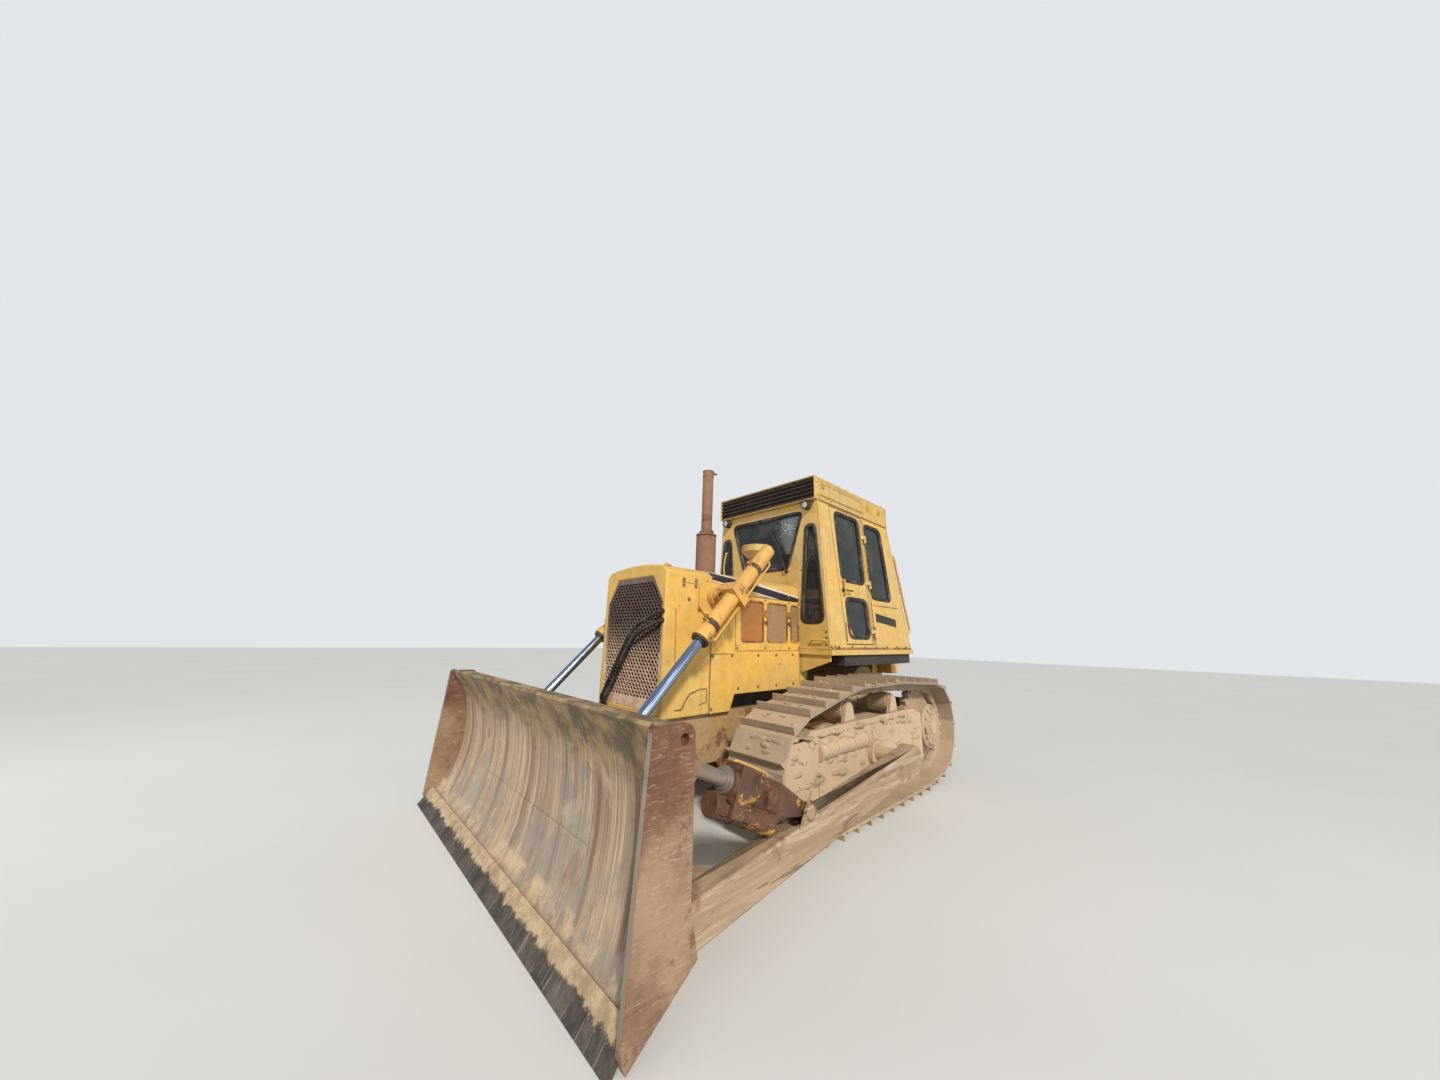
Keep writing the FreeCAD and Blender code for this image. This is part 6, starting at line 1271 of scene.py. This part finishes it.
def lift_fittings(name, side):
    pin = Vector((side * 0.714, -0.960, 1.774))
    way = Vector(LIFT_WAY)
    across = Vector((side, 0, 0))
    upward = across.cross(way) * side
    if upward.z < 0:
        upward = -upward
    body = "lift_barrel_" + name
    gland = Soup()
    gland.band(pin + way * 0.4955, way, 0.0384, 0.066, 0.016)
    gland.band(pin + way * 0.511, way, 0.0384, 0.050, 0.012)
    gland.made("lift_gland_" + name, body, "dark_parts", "black", 0.001)
    rusty = Soup()
    for far in (0.330, -0.340):
        rusty.band(pin + way * far, way, 0.0610, 0.0665, 0.046)
        lug = pin + upward * 0.074
        rusty.bar(lug + way * (far + 0.008), lug + way * (far + 0.038), 0.036, 0.024, upward)
    for k in range(6):
        angle = 2 * math.pi * k / 6 + 0.4
        out = across * math.cos(angle) + upward * math.sin(angle)
        bolt(rusty, pin + way * 0.493 + out * 0.058, way, 0.0075, 0.010)
    rusty.made("lift_clamp_" + name, body, "cylinder_paint", "rusty", 0.001)
    tubes = Soup()
    lower = -upward * 0.086
    for shift in (-0.022, 0.022):
        base = across * shift
        tubes.pipe([pin + way * -0.500 + base - upward * 0.055, pin + way * -0.500 + base + lower * 1.05,
                    pin + way * 0.420 + base + lower * 1.05, pin + way * 0.420 + base - upward * 0.055],
                   0.0085, 10, 0.035)
        tubes.disc(pin + way * 0.420 + base - upward * 0.055, -upward, 0.014, 0.018, 6)
        tubes.disc(pin + way * -0.500 + base - upward * 0.055, -upward, 0.014, 0.018, 6)
    tubes.made("lift_tubes_" + name, body, "cylinder_paint", "cylinder")


lift_fittings("left", 1)
lift_fittings("right", -1)


# Stack and air cleaner

def stack_fittings():
    s = Soup()
    at = Vector((0, -0.640, 0))
    for z, r, high in ((2.020, 0.103, 0.022), (2.418, 0.101, 0.016), (2.436, 0.070, 0.030), (3.040, 0.058, 0.012)):
        s.disc(at + Vector((0, 0, z)), (0, 0, 1), r, high, 32)
    s.block((0.060, -0.652, 2.438), (0.092, -0.628, 2.464))
    s.disc((0.092, -0.640, 2.451), (1, 0, 0), 0.008, 0.010, 6)
    s.made("stack_bands", "machine", "exhaust_rust", "exhaust", 0.0015)
    c = Soup()
    bowl = Vector((0.150, -0.050, 0))
    for z, r, high in ((2.321, 0.1605, 0.010), (2.352, 0.1595, 0.006), (2.380, 0.1595, 0.008), (2.060, 0.066, 0.022)):
        c.disc(bowl + Vector((0, 0, z)), (0, 0, 1), r, high, 36)
    c.disc(bowl + Vector((0, 0, 2.386)), (0, 0, 1), 0.024, 0.016, 6)
    c.made("cleaner_bands", "machine", "exhaust_rust", "roof_yellow", 0.0015)


stack_fittings()


# Blade

def blade_fittings():
    low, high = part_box("moldboard")
    worn = Soup()
    for side in (-1, 1):
        worn.bar((side * 1.585, -2.3235, 1.066), (side * 1.585, -2.3815, 0.105), 0.026, 0.006, up=(0, 1, 0))
        worn.bar((side * 1.568, -2.290, 1.0835), (side * 1.568, -2.160, 1.0835), 0.008, 0.002, up=(0, 0, 1))
    worn.made("end_plate_wear", "blade", "edge_steel", "track_edge", 0.001)
    heads = Soup()
    edge_way = Vector((0, -math.sin(math.radians(39)), -math.cos(math.radians(39))))
    edge_out = Vector((0, -math.cos(math.radians(39)), math.sin(math.radians(39))))
    e_low, e_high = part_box("cutting_edge")
    middle = Vector((0, (e_low[1] + e_high[1]) / 2, (e_low[2] + e_high[2]) / 2))
    count = 20
    for i in range(count):
        x = -1.500 + 3.0 * i / (count - 1)
        heads.disc(Vector((x, middle.y, middle.z)) + edge_out * 0.0085 - edge_way * 0.030, edge_out, 0.0145, 0.0052, 4, 0.78, top=0.012)
    heads.made("edge_bolts", "blade", "edge_steel", "edge")
    rings = Soup()
    for side in (-1, 1):
        out = Vector((side, 0, 0))
        rings.disc(Vector((side * 1.5985, -2.270, 0.235)), out, 0.052, 0.0014, 26)
    rings.made("pin_rings", "blade", "pin_steel", "bolt")


blade_fittings()


# Tilt cylinder

TILT_PIN = Vector((1.415, -1.090, 0.470))
TILT_WAY = Vector((0, -0.9186, 0.3951))


def tilt_fittings():
    below = Vector((0, -TILT_WAY.z, TILT_WAY.y))
    if below.z > 0:
        below = -below
    across = Vector((1, 0, 0))
    gland = Soup()
    gland.band(TILT_PIN + TILT_WAY * 0.700, TILT_WAY, 0.0364, 0.064, 0.016)
    gland.band(TILT_PIN + TILT_WAY * 0.716, TILT_WAY, 0.0364, 0.050, 0.012)
    gland.made("tilt_gland", "tilt_barrel", "pin_steel", "track_edge", 0.001)
    s = Soup()
    for a in (-1, 1):
        for b in (-1, 1):
            at = TILT_PIN + TILT_WAY * 0.7005 + across * (0.070 * a) + below * (0.070 * b)
            bolt(s, at, TILT_WAY, 0.012, 0.012)
    for far in (0.330, 0.480, 0.600):
        s.band(TILT_PIN + TILT_WAY * far, TILT_WAY, 0.0815, 0.0855, 0.016, 32)
        s.band(TILT_PIN + TILT_WAY * far + below * 0.120, TILT_WAY, 0.0565, 0.0600, 0.016)
    s.block(TILT_PIN + TILT_WAY * 0.430 + Vector((0.070, -0.035, -0.030)),
            TILT_PIN + TILT_WAY * 0.430 + Vector((0.108, 0.035, 0.030)))
    for k in (-1, 1):
        bolt(s, TILT_PIN + TILT_WAY * 0.430 + Vector((0.108, 0.020 * k, 0.016 * k)), (1, 0, 0), 0.008, 0.007)
    s.made("tilt_bands", "tilt_barrel", "cylinder_paint", "rusty", 0.0012)
    tubes = Soup()
    for shift in (-0.020, 0.020):
        base = TILT_PIN - across * 0.060
        tubes.pipe([base + TILT_WAY * 0.330 - below * 0.060 + across * shift,
                    base + TILT_WAY * 0.330 - below * 0.104 + across * shift,
                    base + TILT_WAY * (0.600 + shift) - below * 0.104 + across * shift,
                    base + TILT_WAY * (0.600 + shift) - below * 0.060 + across * shift], 0.0085, 10, 0.03)
    tubes.made("tilt_tubes", "tilt_barrel", "cylinder_paint", "cylinder")


tilt_fittings()


# Track frames: guards, bolts and caked clay

FRAME_X = 1.106


def track_frame_fittings(name, side):
    s = Soup()
    x = FRAME_X
    s.block((x - 0.004, -0.850, 0.410), (x + 0.012, -0.530, 0.715))
    for y in (-0.825, -0.690, -0.555):
        for z in (0.440, 0.685):
            bolt(s, (x + 0.012, y, z), (1, 0, 0), 0.014, 0.012)
    s.block((x - 0.004, -0.440, 0.318), (x + 0.014, 1.420, 0.392))
    for i in range(14):
        bolt(s, (x + 0.014, -0.390 + 0.136 * i, 0.356), (1, 0, 0), 0.013, 0.011)
    s.pipe([(x - 0.026, -0.430, 0.610), (x - 0.026, 0.330, 0.610)], 0.066, 28)
    for y in (-0.420, -0.330, -0.200, 0.060, 0.290):
        s.disc((x - 0.026, y, 0.610), (0, 1, 0), 0.073, 0.024, 28)
    s.block((x - 0.004, 0.420, 0.560), (x + 0.010, 0.800, 0.720))
    for y in (0.445, 0.775):
        for z in (0.585, 0.695):
            bolt(s, (x + 0.010, y, z), (1, 0, 0), 0.012, 0.011)
    for i in range(12):
        angle = 2 * math.pi * i / 12
        bolt(s, (1.125, 1.781 + 0.186 * math.cos(angle), 0.549 + 0.186 * math.sin(angle)), (1, 0, 0), 0.013, 0.012)
    s.disc((1.125, 1.781, 0.549), (1, 0, 0), 0.075, 0.010, 32)
    for v in s.v:
        v.x *= side
    s.made("frame_guards_" + name, "machine", "frame_paint", "frame", 0.002)
    clay = Soup()
    out, u, w = Vector((side, 0, 0)), Vector((0, 1, 0)), Vector((0, 0, 1))
    for i in range(64):
        y = rng.uniform(-0.82, 1.45)
        z = rng.choice((rng.uniform(0.34, 0.50), rng.uniform(0.50, 0.72), rng.uniform(0.66, 0.73)))
        size = rng.uniform(0.05, 0.22)
        clod(clay, Vector((side * FRAME_X, y, z)), out, u, size, w, size * rng.uniform(0.3, 0.6), rng.uniform(0.010, 0.030))
    for i in range(44):
        y = rng.uniform(-0.78, 1.30)
        size = rng.uniform(0.06, 0.24)
        clod(clay, Vector((side * rng.uniform(1.02, 1.085), y, 0.735)), w, u, size, out, rng.uniform(0.06, 0.16),
             rng.uniform(0.012, 0.034))
    for i in range(9):
        angle = rng.uniform(0, 6.28)
        far = rng.uniform(0.05, 0.17)
        size = rng.uniform(0.05, 0.13)
        clod(clay, Vector((side * 1.126, 1.781 + far * math.cos(angle), 0.549 + far * math.sin(angle))), out, u, size,
             w, size * 0.7, rng.uniform(0.008, 0.018))
    clay.made("frame_clay_" + name, "machine", "frame_paint", "mud")


track_frame_fittings("left", 1)
track_frame_fittings("right", -1)


# Rear

def rear_fittings():
    s = Soup()
    low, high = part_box("fuel_tank")
    for x in (-0.330, 0.330):
        s.bar((x, high[1] - 0.001, low[2] + 0.010), (x, high[1] - 0.001, high[2] - 0.004), 0.050, 0.008, up=(0, 1, 0))
        s.bar((x, low[1] + 0.010, high[2] - 0.001), (x, high[1] - 0.006, high[2] - 0.001), 0.050, 0.008, up=(0, 0, 1))
        bolt(s, (x, high[1] + 0.003, low[2] + 0.060), (0, 1, 0), 0.011, 0.009)
    s.bar((-0.492, high[1] - 0.001, low[2] + 0.120), (0.492, high[1] - 0.001, low[2] + 0.120), 0.012, 0.006, up=(0, 1, 0))
    s.made("tank_straps", "machine", "yellow_paint", "yellow_edge", 0.0015)
    b = Soup()
    case_low, case_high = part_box("drive_case")
    for x in (-0.290, -0.150, 0.0, 0.150, 0.290):
        for z in (case_low[2] + 0.035, case_high[2] - 0.035):
            bolt(b, (x, case_high[1], z), (0, 1, 0), 0.013, 0.011)
    b.made("case_bolts", "machine", "pin_steel", "bolt")


rear_fittings()
